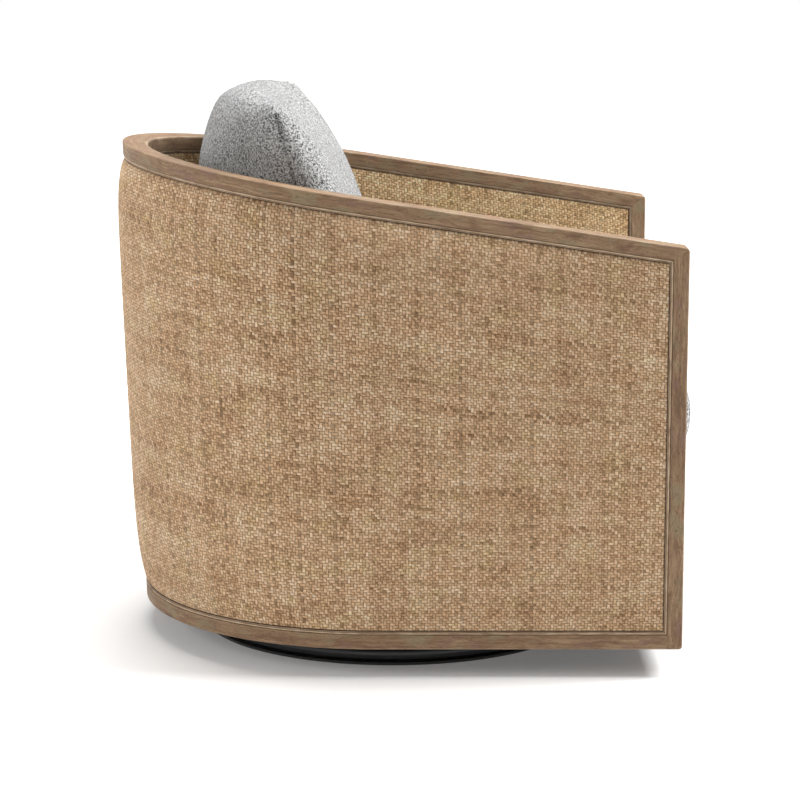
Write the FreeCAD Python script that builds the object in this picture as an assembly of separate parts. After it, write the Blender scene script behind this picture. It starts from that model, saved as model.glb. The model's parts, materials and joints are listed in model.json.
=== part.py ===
import FreeCAD, Part
import math
import os

# A swivel rocker: a U-shaped barrel shell of wood rails and woven panels with a seat cushion and a
# loose back cushion, on a spring rocker mechanism, a ball-bearing swivel and a round tubular base.
# Millimetres. +Z is up, -Y is the front, +X is the sitter's left. The origin is on the floor, on the
# swivel axis.

vec = FreeCAD.Vector
x_axis = vec(1, 0, 0)
z_axis = vec(0, 0, 1)
tolerance = 0.01           # how far apart two points may lie and still count as one

# Shell: the U-shaped wall seen from above is two straight arms joined by a half circle
shell_width = 720.0        # over the outer faces of the arms
front_reach = 419.0        # swivel axis to the front of the posts
back_centre = 27.0         # swivel axis to the centre of the half circle, at the underside
back_lean = 0.0353         # the back leans this much for each mm of height
floor_gap = 42.0           # floor to the underside of the shell
arm_front_height = 626.0   # floor to the top of the arms at the posts
arm_rise = 0.15            # the top rail climbs this much for each mm toward the back
wall = 38.0                # thickness of the rails and posts, from outer to inner face
top_rail_height = 20.5
bottom_rail_height = 21.5
post_depth = 22.0          # front to back
top_corner_radius = 7.0
bottom_corner_radius = 5.0
edge_round = 2.0           # on the long edges of the rails and posts

# Beads, woven panels and the bent board that carries them
bead_width = 6.0
bead_recess = 0.8          # behind the face of the rails
bead_round = 2.0
cane_recess = 1.5          # behind the face of the rails, at the panel's edge
panel_crown = 14.3         # how far the padding lifts the outer panel in the middle of the back
arm_bow = 0.75             # share of that crown halfway along the arms
crown_reach_top = 30.0     # the crown builds up within about this distance of the panel's edge
crown_reach_bottom = 45.0
core_inset = 12.0          # outer face of the rails to the bent board
core_thickness = 14.0
panel_levels = (0.0, 0.02, 0.05, 0.1, 0.17, 0.3, 0.5, 0.7, 0.85, 0.92, 0.96, 0.985, 1.0)
fit_gap = 0.3              # glue line, or air between soft pieces
panel_below_deck = 14.7    # the inner panel runs this far down behind the seat cushion

# Seat frame, springs, deck and covers
frame_bottom = 160.0
frame_height = 102.0
frame_board = 25.0
rear_rail_y = 150.0        # front face of the rear rail
cross_rail_spread = 105.0  # swivel axis to the middle of each cross rail
cross_rail_width = 60.0
corner_block_size = 55.0
corner_block_height = 50.0
rear_deck_thickness = 12.0
zigzag_count = 4
zigzag_wire = 3.8
zigzag_bend = 14.0
zigzag_width = 50.0
zigzag_spread = 130.0
clip_size = (22.0, 16.0, 1.6)
deck_thickness = 30.4
dust_cover_thickness = 1.0
apron_board_thickness = 12.0
apron_cover_thickness = 3.0
apron_recess = 6.0         # front of the apron cover behind the front of the posts
apron_below_deck = 1.7

# Seat cushion
seat_thickness = 146.0
seat_side_gap = 1.0        # to the inner face of the rails
seat_overhang = 14.0       # the front swells this far past the posts
seat_corner_radius = 40.0
seat_profile = ((0.0, 26.0), (0.03, 18.0), (0.1, 11.0), (0.2, 6.0), (0.34, 2.0), (0.5, 0.0), (0.64, 1.0),
                (0.76, 4.0), (0.85, 9.0), (0.91, 16.0), (0.95, 28.0), (0.98, 52.0), (0.993, 90.0),
                (1.0, 140.0))  # share of the height, and how far the side is drawn in there
cover_thickness = 3.0

# Back cushion
pillow_side_gap = 37.0     # from its side seams to the inner faces of the arms
pillow_front = 112.0       # seam to the fullest point of the front face
pillow_back = 118.5        # seam to the fullest point of the back face
pillow_half_height = 206.0
pillow_place = 143.3       # middle of the pillow behind the centre of the half circle
pillow_above_seat = 185.0  # middle of the pillow above the top of the seat cushion
pillow_lean = 21.0         # degrees back from upright
pillow_wrap = 75.0         # its side edges are pushed this far forward by the round back
pillow_corner_drop = 9.5   # its corners lie this much below the middle of its top edge
pillow_edge = 5.0          # half thickness at its side seams
pillow_nose = 0.46         # radius of its top and bottom edges, as a share of half thickness
pillow_fullness = 1.6      # higher is fuller toward the side seams
pillow_stations = (0.0, 0.4, 0.72, 0.88, 0.96, 1.0)  # shares of its half width

# Base ring, floor glide, arms and hub
ring_radius = 297.0        # outer
ring_tube = 25.0
glide_width = 25.0
glide_height = 4.0
glide_seat = 1.0           # the ring sits this deep in the glide
arm_width = 38.0
arm_height = 14.0
arm_wall = 2.0
arm_start = 38.0           # swivel axis to the inner end of each arm
arm_count = 4
first_arm_angle = 45.0     # degrees from the sitter's left
hub_radius = 80.0
plate_thickness = 5.0

# Ball-bearing swivel
race_radius = 60.0
race_bore = 24.0
race_thickness = 4.0
race_gap = 5.0
ball_past_middle = 4.0     # the ball circle lies this far outside the middle of the race
ball_radius = 4.0
ball_count = 20
running_clearance = 0.05
king_radius = 8.0
king_head = 9.0            # height of the head
king_nut = 11.0            # height of the nut
king_washer = 2.5
king_washer_radius = 16.0
hex_ratio = 1.6            # hexagon's flat-to-centre distance over its bolt's radius
rivet_radius = 2.5
rivet_past_bore = 10.0
rivet_count = 4

# Rocker mechanism
pivot_height = 112.0
rock_limit = 4.5           # degrees each way
swivel_plate_depth = 200.0
plate_past_ear = 5.0
bracket_past_rail = 17.0   # the brackets end this far beyond the middle of the cross rails
bracket_inner = 44.0       # swivel axis to the inner edge of the brackets
lower_ear_inner = 100.0
bracket_sheet = 4.0
ear_sheet = 5.0
ear_gap = 1.0
ear_round = 14.0
ear_waist_drop = 20.0      # from the pivot down to the lower ear's edge beside it
horn_width = 18.0
upper_ear_half = 55.0
flange_past_ear = 7.0
pin_radius = 6.0
pin_head_radius = 9.0
pin_head_height = 4.0
bush_wall = 3.0
clip_thickness = 1.5
stop_radius = 8.0
stop_height = 16.0
stop_from_end = 11.0       # from the ends of the brackets
bolt_radius = 4.0
bolt_head_height = 5.0
low_head_height = 2.0      # of the bolts under the swivel plate
mounting_bolt_from_end = 9.0
mounting_bolt_length = 24.0
bracket_bolt_offset = 28.0  # from the inner edge of the bracket, and from the pivot axis
spring_from_edge = 22.0
spring_from_end = 44.0
spring_mean_radius = 17.0
spring_wire = 6.0
spring_turns = 8
cup_wall = 3.0
cup_height = 8.0
cup_clearance = 0.8

# Worked out from the sizes above
half_width = shell_width / 2
tall = 2 * arm_front_height
wide = 2 * shell_width
bead_depth = core_inset - fit_gap
core_inner = core_inset + core_thickness
lining_start = core_inner + fit_gap
frame_top = frame_bottom + frame_height
deck_bottom = frame_top + 2 * clip_size[2] + zigzag_wire + fit_gap
deck_top = deck_bottom + deck_thickness
inner_panel_bottom = deck_top - panel_below_deck
apron_top = deck_top - apron_below_deck
seat_bottom = deck_top + fit_gap
seat_top = seat_bottom + seat_thickness
ring_centre_z = glide_height - glide_seat + ring_tube / 2
ring_centre_radius = ring_radius - ring_tube / 2
hub_bottom = ring_centre_z + arm_height / 2
hub_top = hub_bottom + plate_thickness
lower_race_top = hub_top + race_thickness
upper_race_bottom = lower_race_top + race_gap
upper_race_top = upper_race_bottom + race_thickness
ball_centre_z = (lower_race_top + upper_race_bottom) / 2
swivel_plate_top = upper_race_top + plate_thickness
lower_flange_top = swivel_plate_top + bracket_sheet
upper_flange_top = frame_bottom - dust_cover_thickness
upper_flange_bottom = upper_flange_top - bracket_sheet
lower_ear_outer = lower_ear_inner + ear_sheet
upper_ear_outer = lower_ear_inner - ear_gap
bracket_end = cross_rail_spread + bracket_past_rail
mounting_bolt_at = (bracket_inner + spring_from_edge, bracket_end - mounting_bolt_from_end)
bracket_bolt_at = (bracket_inner + bracket_bolt_offset, bracket_bolt_offset)
spring_at = (bracket_inner + spring_from_edge, bracket_end - spring_from_end)
stop_spread = bracket_end - stop_from_end
ball_circle = (race_radius + race_bore) / 2 + ball_past_middle
rivet_circle = race_bore + rivet_past_bore
apron_back = apron_recess + apron_cover_thickness + apron_board_thickness - front_reach


def back_centre_at(z):
    """Y of the centre of the back's half circle at this height."""
    return back_centre + back_lean * (z - floor_gap)


def top_at(y, drop=0.0):
    """Height of the sloping plane that lies this far below the top of the shell."""
    return arm_front_height + arm_rise * (y + front_reach) - drop


def box(x0, x1, y0, y1, z0, z1):
    return Part.makeBox(x1 - x0, y1 - y0, z1 - z0, vec(x0, y0, z0))


def cylinder(radius, x, y, z0, z1):
    return Part.makeCylinder(radius, z1 - z0, vec(x, y, z0))


def cross_cylinder(radius, x0, x1, y, z):
    return Part.makeCylinder(radius, x1 - x0, vec(x0, y, z), x_axis)


def tube(outer, inner, x, y, z0, z1):
    return cylinder(outer, x, y, z0, z1).cut(cylinder(inner, x, y, z0, z1))


def mirrored(shape):
    return shape.mirror(vec(0, 0, 0), x_axis)


def group(shapes):
    return Part.makeCompound([solid for shape in shapes for solid in shape.Solids])


def hexagon(radius, x, y, z0, z1):
    """Hexagonal head or nut for a bolt of this radius."""
    corner = radius * hex_ratio / math.cos(math.pi / 6)
    angles = [math.pi * k / 3 for k in range(7)]
    points = [vec(x + corner * math.cos(a), y + corner * math.sin(a), z0) for a in angles]
    return Part.Face(Part.makePolygon(points)).extrude(vec(0, 0, z1 - z0))


def side_block(points, x0, x1):
    """Solid whose outline in the side view runs through these (y, z) points."""
    corners = [vec(x0, y, z) for y, z in points + points[:1]]
    return Part.Face(Part.makePolygon(corners)).extrude(vec(x1 - x0, 0, 0))


def filled_shell(offset):
    """All that lies inside the shell's outer face, moved inward by the offset."""
    radius = half_width - offset
    centre = back_centre_at(0)
    front = -3 * front_reach
    edges = [
        Part.LineSegment(vec(-radius, front, 0), vec(radius, front, 0)).toShape(),
        Part.LineSegment(vec(radius, front, 0), vec(radius, centre, 0)).toShape(),
        Part.Arc(vec(radius, centre, 0), vec(0, centre + radius, 0), vec(-radius, centre, 0)).toShape(),
        Part.LineSegment(vec(-radius, centre, 0), vec(-radius, front, 0)).toShape(),
    ]
    return Part.Face(Part.Wire(edges)).extrude(vec(0, back_lean * tall, tall))


def wall_layer(outer_offset, inner_offset):
    """U-shaped layer of the wall between two offsets from the shell's outer face."""
    return filled_shell(outer_offset).cut(filled_shell(inner_offset))


def window(gap, bottom, x0=-wide, x1=wide):
    """Side-view opening of the frame, set in by the gap, from this bottom up to the top rail."""
    front = -front_reach + post_depth + gap
    drop = top_rail_height + gap
    points = [(front, bottom), (wide, bottom), (wide, top_at(wide, drop)), (front, top_at(front, drop))]
    return side_block(points, x0, x1)


def shell_outline():
    """Side-view block of the whole shell, with its two front corners rounded."""
    slope = math.atan(arm_rise)
    turn = (math.pi / 2 - slope) / 2
    reach = top_corner_radius / math.tan(math.pi / 2 - turn)
    front = -front_reach
    top = arm_front_height
    bottom = floor_gap
    r = top_corner_radius
    s = bottom_corner_radius
    post_end = vec(-wide, front, top - reach)
    rail_end = vec(-wide, front + reach * math.cos(slope), top + reach * math.sin(slope))
    corner = vec(-wide, front + r - r * math.cos(turn), top - reach + r * math.sin(turn))
    toe = vec(-wide, front + s - s * math.cos(math.pi / 4), bottom + s - s * math.sin(math.pi / 4))
    back_top = vec(-wide, wide, top_at(wide))
    back_bottom = vec(-wide, wide, bottom)
    toe_front = vec(-wide, front, bottom + s)
    toe_back = vec(-wide, front + s, bottom)
    edges = [
        Part.Arc(post_end, corner, rail_end).toShape(),
        Part.LineSegment(rail_end, back_top).toShape(),
        Part.LineSegment(back_top, back_bottom).toShape(),
        Part.LineSegment(back_bottom, toe_back).toShape(),
        Part.Arc(toe_back, toe, toe_front).toShape(),
        Part.LineSegment(toe_front, post_end).toShape(),
    ]
    return Part.Face(Part.Wire(edges)).extrude(vec(2 * wide, 0, 0))


def on_shell_face(point, offset):
    """True where the point lies on the shell's face at this offset."""
    radius = half_width - offset
    past_centre = max(point.y - back_centre_at(point.z), 0.0)
    return abs(math.hypot(point.x, past_centre) - radius) < tolerance


def on_tangent_line(point):
    return abs(point.y - back_centre_at(point.z)) < tolerance


def edge_points(edge):
    first, last = edge.ParameterRange
    return [edge.valueAt(first + (last - first) * k / 4) for k in range(5)]


def rim_edges(shape, offset):
    """Edges of a wall piece round its face at this offset, without the smooth seams in the face."""
    rims = []
    for edge in shape.Edges:
        points = edge_points(edge)
        if not all(on_shell_face(point, offset) for point in points):
            continue
        if not all(on_tangent_line(point) for point in points):
            rims.append(edge)
    return rims


def frame_blank():
    """The whole wall as one rounded solid, from which the rails and posts are cut."""
    blank = wall_layer(0, wall).common(shell_outline())
    return blank.makeFillet(edge_round, rim_edges(blank, 0) + rim_edges(blank, wall))


def wood_frame():
    blank = frame_blank()
    post_back = -front_reach + post_depth
    low_top = floor_gap + bottom_rail_height
    high_joint = back_centre_at(top_at(back_centre))
    low_joint = back_centre
    lap = (post_back, top_at(post_back, top_rail_height))
    outside = (-front_reach - wall, top_at(-front_reach) + wall * (lap[1] - top_at(-front_reach)) /
               (-front_reach - lap[0]))
    rail = [lap, outside, (outside[0], tall), (high_joint, tall),
            (high_joint, top_at(high_joint, top_rail_height))]
    post = [lap, outside, (outside[0], 0), (post_back, 0)]
    back_rail = [(high_joint, top_at(high_joint, top_rail_height)), (high_joint, tall), (wide, tall),
                 (wide, top_at(wide, top_rail_height))]
    low_rail = [(post_back, 0), (low_joint, 0), (low_joint, low_top), (post_back, low_top)]
    low_back = [(low_joint, 0), (wide, 0), (wide, low_top), (low_joint, low_top)]
    pieces = {
        "top_rail_back": blank.common(side_block(back_rail, -wide, wide)),
        "bottom_rail_back": blank.common(side_block(low_back, -wide, wide)),
    }
    for side, x0, x1 in (("left", 0, wide), ("right", -wide, 0)):
        pieces["top_rail_" + side] = blank.common(side_block(rail, x0, x1))
        pieces["front_post_" + side] = blank.common(side_block(post, x0, x1))
        pieces["bottom_rail_" + side] = blank.common(side_block(low_rail, x0, x1))
    inner = half_width - wall
    bar = box(-inner, inner, -front_reach, post_back, floor_gap, low_top)
    long_edges = [edge for edge in bar.Edges if edge.Length > inner]
    pieces["bottom_rail_front"] = bar.makeFillet(edge_round, long_edges)
    return pieces


def bead_frame(face_offset, back_offset, bottom):
    """Thin rounded strip round a panel, between the rails and the weave."""
    layer = wall_layer(min(face_offset, back_offset), max(face_offset, back_offset))
    strip = layer.common(window(0, bottom)).cut(window(bead_width, bottom + bead_width))
    return strip.makeFillet(bead_round, rim_edges(strip, face_offset))


def crown_at(share, height):
    """How far the padded panel stands out at this share of its height."""
    above = 1 - math.exp(-share * height / crown_reach_bottom)
    below = 1 - math.exp(-(1 - share) * height / crown_reach_top)
    return panel_crown * above * below


def bowed_edge(start, middle, end):
    """Arc through the three points, or a straight edge where they are in line."""
    if abs(middle.x - start.x) < tolerance:
        return Part.LineSegment(start, end).toShape()
    return Part.Arc(start, middle, end).toShape()


def panel_section(share):
    """Closed outline of the padded outer panel on the plane at this share of its height."""
    bottom = floor_gap + bottom_rail_height + bead_width
    drop = top_rail_height + bead_width
    slope = share * arm_rise
    level = bottom + share * (top_at(0, drop) - bottom)
    height = top_at(back_centre + half_width, drop) - bottom
    crown = crown_at(share, height)
    edge_x = half_width - cane_recess
    radius = edge_x + crown
    front = -front_reach + post_depth + bead_width

    def round_point(angle):
        reach = back_centre_at(level) + radius * math.sin(angle)
        y = reach / (1 - back_lean * slope)
        return vec(radius * math.cos(angle), y, level + slope * y)

    def arm_point(x, y):
        return vec(x, y, level + slope * y)

    left_front = arm_point(edge_x, front)
    right_front = arm_point(-edge_x, front)
    left_join = round_point(0)
    right_join = round_point(math.pi)
    middle_y = (front + left_join.y) / 2
    middle_x = edge_x + arm_bow * crown
    apex = round_point(math.pi / 2)
    edges = [
        Part.LineSegment(right_front, left_front).toShape(),
        bowed_edge(left_front, arm_point(middle_x, middle_y), left_join),
        Part.Arc(left_join, round_point(math.pi / 4), apex).toShape(),
        Part.Arc(apex, round_point(3 * math.pi / 4), right_join).toShape(),
        bowed_edge(right_join, arm_point(-middle_x, middle_y), right_front),
    ]
    return Part.Wire(edges)


def outer_panel():
    """Woven panel over padding, crowned between its beads and wrapped round the bent board."""
    body = Part.makeLoft([panel_section(share) for share in panel_levels], True, False)
    return body.cut(filled_shell(bead_depth))


def inner_panel():
    layer = wall_layer(lining_start, wall - cane_recess)
    return layer.common(window(bead_width, inner_panel_bottom))


def bent_board():
    """The board in the middle of the wall: two flat arms and a bent back."""
    low_top = floor_gap + bottom_rail_height
    layer = wall_layer(core_inset, core_inner)
    joint = back_centre_at((low_top + top_at(0)) / 2)
    return {
        "shell_board_left": layer.common(window(0, low_top, 0, wide)).common(
            box(0, wide, -wide, joint, 0, tall)),
        "shell_board_right": layer.common(window(0, low_top, -wide, 0)).common(
            box(-wide, 0, -wide, joint, 0, tall)),
        "shell_board_back": layer.common(window(0, low_top)).common(
            box(-wide, wide, joint, wide, 0, tall)),
    }


def seat_frame():
    """Boards under the seat, inside the bent board."""
    inside = filled_shell(lining_start)
    edge = half_width - lining_start
    inner = edge - frame_board
    post_back = -front_reach + post_depth
    left = box(inner, edge, post_back, rear_rail_y, frame_bottom, frame_top).common(inside)
    front = box(-inner, inner, apron_back, apron_back + frame_board, frame_bottom, frame_top)
    rear_y = rear_rail_y + frame_board
    rear = box(-wide, wide, rear_rail_y, rear_y, frame_bottom, frame_top).common(inside)
    deck = box(-wide, wide, rear_y, wide, frame_top - rear_deck_thickness, frame_top)
    cross_rails = {}
    for name, y in (("front", -cross_rail_spread), ("rear", cross_rail_spread)):
        y0 = y - cross_rail_width / 2
        rail = box(-inner, inner, y0, y0 + cross_rail_width, frame_bottom, frame_bottom + frame_board)
        for x in (-mounting_bolt_at[0], mounting_bolt_at[0]):
            bolt_y = math.copysign(mounting_bolt_at[1], y)
            hole_top = upper_flange_bottom + mounting_bolt_length
            hole = cylinder(bolt_radius, x, bolt_y, frame_bottom, hole_top)
            rail = rail.cut(hole)
        cross_rails["cross_rail_" + name] = rail
    blocks = []
    for y, step in ((apron_back + frame_board, 1), (rear_rail_y, -1)):
        size = corner_block_size
        z0 = frame_top - corner_block_height
        corners = [vec(inner, y, z0), vec(inner - size, y, z0), vec(inner, y + step * size, z0)]
        block = Part.Face(Part.makePolygon(corners + corners[:1])).extrude(vec(0, 0, corner_block_height))
        blocks += [block, mirrored(block)]
    return {
        "seat_rail_left": left,
        "seat_rail_right": mirrored(left),
        "seat_rail_front": front,
        "seat_rail_rear": rear,
        "rear_deck": deck.common(inside),
        "corner_blocks": group(blocks),
        **cross_rails,
    }


def zigzag_spring(x, y0, y1, z):
    """Flat zigzag wire from the front rail to the rear rail."""
    bends = int((y1 - y0) / (2 * zigzag_bend))
    start = (y0 + y1) / 2 - bends * zigzag_bend
    half = zigzag_width / 2 - zigzag_bend
    edges = []
    side = 1
    y = start
    for k in range(bends + 1):
        here = vec(x - side * half, y, z)
        there = vec(x + side * half, y, z)
        edges.append(Part.LineSegment(here, there).toShape())
        if k < bends:
            far = vec(x + side * (half + zigzag_bend), y + zigzag_bend, z)
            back = vec(x + side * half, y + 2 * zigzag_bend, z)
            edges.append(Part.Arc(there, far, back).toShape())
        y += 2 * zigzag_bend
        side = -side
    path = Part.Wire(edges)
    ring = Part.Circle(vec(x - half, start, z), x_axis, zigzag_wire / 2)
    wire = path.makePipeShell([Part.Wire([ring.toShape()])], True, False)
    return wire, start, start + 2 * bends * zigzag_bend


def zigzag_springs():
    y0 = apron_back + frame_board / 2
    y1 = rear_rail_y + frame_board / 2
    z = frame_top + clip_size[2] + zigzag_wire / 2
    wires = []
    clips = []
    for k in range(zigzag_count):
        x = zigzag_spread * (k - (zigzag_count - 1) / 2)
        wire, first, last = zigzag_spring(x, y0, y1, z)
        wires.append(wire)
        for y in (first, last):
            w, d, t = clip_size
            block = box(x - w / 2, x + w / 2, y - d / 2, y + d / 2, frame_top, z + zigzag_wire / 2 + t)
            bore = cross_cylinder(zigzag_wire / 2 + running_clearance, x - w, x + w, y, z)
            clips.append(block.cut(bore))
    return {"zigzag_springs": group(wires), "spring_clips": group(clips)}


def seat_deck():
    inside = filled_shell(wall + fit_gap)
    return inside.common(box(-wide, wide, apron_back + fit_gap, wide, deck_bottom, deck_top))


def dust_cover():
    inside = filled_shell(lining_start)
    post_back = -front_reach + post_depth
    sheet = inside.common(box(-wide, wide, post_back, wide, upper_flange_top, frame_bottom))
    for x in (-mounting_bolt_at[0], mounting_bolt_at[0]):
        for y in (-mounting_bolt_at[1], mounting_bolt_at[1]):
            sheet = sheet.cut(cylinder(bolt_radius, x, y, upper_flange_top, frame_bottom))
    return sheet


def front_apron():
    inner = half_width - wall
    low = floor_gap + bottom_rail_height
    face = apron_recess - front_reach
    split = face + apron_cover_thickness
    return {
        "apron_cover": box(-inner, inner, face, split, low, apron_top),
        "apron_board": box(-inner, inner, split, apron_back, low, apron_top),
    }


def seat_section(z, inset):
    """Outline of the seat cushion from above: straight front, round corners, half-round back."""
    half = half_width - wall - seat_side_gap - inset
    front = -front_reach - seat_overhang + inset
    centre = back_centre_at(z)
    r = seat_corner_radius
    slack = r * (1 - math.sqrt(0.5))
    diagonal = half * math.sqrt(0.5)
    apex = vec(0, centre + half, z)
    edges = [
        Part.LineSegment(vec(r - half, front, z), vec(half - r, front, z)).toShape(),
        Part.Arc(vec(half - r, front, z), vec(half - slack, front + slack, z),
                 vec(half, front + r, z)).toShape(),
        Part.LineSegment(vec(half, front + r, z), vec(half, centre, z)).toShape(),
        Part.Arc(vec(half, centre, z), vec(diagonal, centre + diagonal, z), apex).toShape(),
        Part.Arc(apex, vec(-diagonal, centre + diagonal, z), vec(-half, centre, z)).toShape(),
        Part.LineSegment(vec(-half, centre, z), vec(-half, front + r, z)).toShape(),
        Part.Arc(vec(-half, front + r, z), vec(slack - half, front + slack, z),
                 vec(r - half, front, z)).toShape(),
    ]
    return Part.Wire(edges)


def seat_body(shrink):
    """Seat cushion, crowned on top and drawn in toward its seams, made smaller by the shrink."""
    bottom = seat_bottom + shrink
    height = seat_thickness - 2 * shrink
    sections = [seat_section(bottom + share * height, inset + shrink) for share, inset in seat_profile]
    return Part.makeLoft(sections, True, True)


def oval_section(x, y, z, lean, front, back, half_height):
    """Upright oval of arcs that leans back by the angle, with its front and back swollen apart."""
    tip = pillow_nose * min(front, back)
    rise = half_height - tip

    def at(dy, dz):
        return vec(x, y + dy * math.cos(lean) + dz * math.sin(lean),
                   z - dy * math.sin(lean) + dz * math.cos(lean))

    def touch(a):
        flank = (a * a + rise ** 2 - tip * tip) / (2 * (a - tip))
        return tip * (flank - a) / (flank - tip), rise + tip * rise / (flank - tip)

    front_y, front_z = touch(front)
    back_y, back_z = touch(back)
    edges = [
        Part.Arc(at(-front_y, front_z), at(0, half_height), at(back_y, back_z)).toShape(),
        Part.Arc(at(back_y, back_z), at(back, 0), at(back_y, -back_z)).toShape(),
        Part.Arc(at(back_y, -back_z), at(0, -half_height), at(-front_y, -front_z)).toShape(),
        Part.Arc(at(-front_y, -front_z), at(-front, 0), at(-front_y, front_z)).toShape(),
    ]
    return Part.Wire(edges)


def pillow_body(shrink):
    """Plump knife-edge back cushion, wrapped forward at its sides and flat where it rests."""
    lean = math.radians(pillow_lean)
    half = half_width - wall - pillow_side_gap - shrink
    sections = []
    for share in [-station for station in reversed(pillow_stations[1:])] + list(pillow_stations):
        swell = math.sqrt(1 - abs(share) ** pillow_fullness)
        front = pillow_edge + (pillow_front - pillow_edge) * swell - shrink
        back = pillow_edge + (pillow_back - pillow_edge) * swell - shrink
        drop = pillow_corner_drop * share * share / 2
        y = back_centre + pillow_place - pillow_wrap * share * share
        z = seat_top + pillow_above_seat - drop
        height = pillow_half_height - shrink - drop
        sections.append(oval_section(half * share, y, z, lean, front, back, height))
    body = Part.makeLoft(sections, True, False)
    room = filled_shell(wall + fit_gap + shrink)
    rest = seat_top + fit_gap + shrink
    return body.common(room).common(box(-wide, wide, -wide, wide, rest, 2 * tall))


def cushions():
    core_shrink = cover_thickness + fit_gap
    return {
        "seat_cushion_cover": seat_body(0).cut(seat_body(cover_thickness)),
        "seat_cushion_foam": seat_body(core_shrink),
        "back_cushion_cover": pillow_body(0).cut(pillow_body(cover_thickness)),
        "back_cushion_fill": pillow_body(core_shrink),
    }


def base():
    """Tubular ring on a floor glide, with arms to a hub plate."""
    ring = Part.makeTorus(ring_centre_radius, ring_tube / 2, vec(0, 0, ring_centre_z), z_axis)
    groove = Part.makeTorus(ring_centre_radius, ring_tube / 2 + running_clearance,
                            vec(0, 0, ring_centre_z), z_axis)
    glide_mid = ring_centre_radius
    glide = tube(glide_mid + glide_width / 2, glide_mid - glide_width / 2, 0, 0, 0, glide_height)
    low = ring_centre_z - arm_height / 2
    half = arm_width / 2
    arm = box(arm_start, ring_centre_radius, -half, half, low, low + arm_height)
    bore = box(arm_start, ring_centre_radius, arm_wall - half, half - arm_wall, low + arm_wall,
               low + arm_height - arm_wall)
    arm = arm.cut(bore).cut(ring)
    arms = []
    for k in range(arm_count):
        turned = arm.copy()
        turned.rotate(vec(0, 0, 0), z_axis, first_arm_angle + 360 * k / arm_count)
        arms.append(turned)
    hub = tube(hub_radius, king_radius, 0, 0, hub_bottom, hub_top)
    return {
        "floor_glide": glide.cut(groove),
        "base_ring": ring,
        "base_arms": group(arms),
        "hub_plate": hub.cut(rivets()),
    }


def rivets():
    shapes = []
    for k in range(rivet_count):
        angle = 2 * math.pi * k / rivet_count
        x = rivet_circle * math.cos(angle)
        y = rivet_circle * math.sin(angle)
        shapes.append(cylinder(rivet_radius, x, y, hub_bottom, lower_race_top))
    return group(shapes)


def swivel():
    """Two pressed races with balls between them, round the king bolt."""
    groove = Part.makeTorus(ball_circle, ball_radius + running_clearance, vec(0, 0, ball_centre_z), z_axis)
    lower = tube(race_radius, race_bore, 0, 0, hub_top, lower_race_top).cut(groove).cut(rivets())
    upper = tube(race_radius, race_bore, 0, 0, upper_race_bottom, upper_race_top).cut(groove)
    balls = []
    for k in range(ball_count):
        angle = 2 * math.pi * k / ball_count
        x = ball_circle * math.cos(angle)
        y = ball_circle * math.sin(angle)
        balls.append(Part.makeSphere(ball_radius, vec(x, y, ball_centre_z)))
    washer_bottom = swivel_plate_top + running_clearance
    nut_bottom = washer_bottom + king_washer
    nut_top = nut_bottom + king_nut
    shank = cylinder(king_radius, 0, 0, hub_bottom, nut_top)
    bolt = shank.fuse(hexagon(king_radius, 0, 0, hub_bottom - king_head, hub_bottom))
    nut = hexagon(king_radius, 0, 0, nut_bottom, nut_top).cut(shank)
    washer = tube(king_washer_radius, king_radius, 0, 0, washer_bottom, nut_bottom)
    x = lower_ear_outer + plate_past_ear
    y = swivel_plate_depth / 2
    plate = box(-x, x, -y, y, upper_race_top, swivel_plate_top)
    plate = plate.cut(cylinder(king_radius + running_clearance, 0, 0, upper_race_top, swivel_plate_top))
    plate = plate.makeFillet(ear_round, [edge for edge in plate.Edges if is_upright(edge)])
    for bolt_x, bolt_y in four_corners(bracket_bolt_at):
        plate = plate.cut(cylinder(bolt_radius, bolt_x, bolt_y, upper_race_top, swivel_plate_top))
    return {
        "lower_race": lower,
        "race_rivets": rivets(),
        "bearing_balls": group(balls),
        "king_bolt": bolt,
        "king_nut": group([nut, washer]),
        "upper_race": upper,
        "swivel_plate": plate,
    }


def is_upright(edge):
    ends = [vertex.Point for vertex in edge.Vertexes]
    if len(ends) < 2:
        return False
    return math.hypot(ends[0].x - ends[1].x, ends[0].y - ends[1].y) < tolerance


def four_corners(place):
    x, y = place
    return [(x, y), (-x, y), (x, -y), (-x, -y)]


def ear_plate(points, x0, x1, hole_radius, centre_z):
    """Upright plate with a round eye for the pivot pin."""
    plate = side_block(points, x0, x1)
    eye = cross_cylinder(ear_round, x0, x1, 0, centre_z)
    return plate.fuse(eye).cut(cross_cylinder(hole_radius, x0, x1, 0, centre_z)).removeSplitter()


def horn_top():
    """Height of the stops on the lower ears, which the rubber meets at the limit of the rock."""
    angle = math.radians(rock_limit)
    rubber = upper_flange_bottom - stop_height - pivot_height
    reach = stop_spread + stop_radius
    return pivot_height + rubber * math.cos(angle) - reach * math.sin(angle) - fit_gap


def lower_bracket():
    x0 = lower_ear_inner
    x1 = lower_ear_outer
    end = bracket_end
    bottom = swivel_plate_top
    flange = box(bracket_inner, x1, -end, end, bottom, lower_flange_top)
    horn = end - horn_width
    waist = pivot_height - ear_waist_drop
    half_eye = ear_round
    points = [(-end, bottom), (end, bottom), (end, horn_top()), (horn, horn_top()), (horn, waist),
              (half_eye, waist), (half_eye, pivot_height), (-half_eye, pivot_height),
              (-half_eye, waist), (-horn, waist), (-horn, horn_top()), (-end, horn_top())]
    ear = ear_plate(points, x0, x1, pin_radius + bush_wall, pivot_height)
    bracket = flange.fuse(ear).removeSplitter()
    for y in (-bracket_bolt_at[1], bracket_bolt_at[1]):
        bracket = bracket.cut(cylinder(bolt_radius, bracket_bolt_at[0], y, bottom, lower_flange_top))
    return bracket


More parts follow.
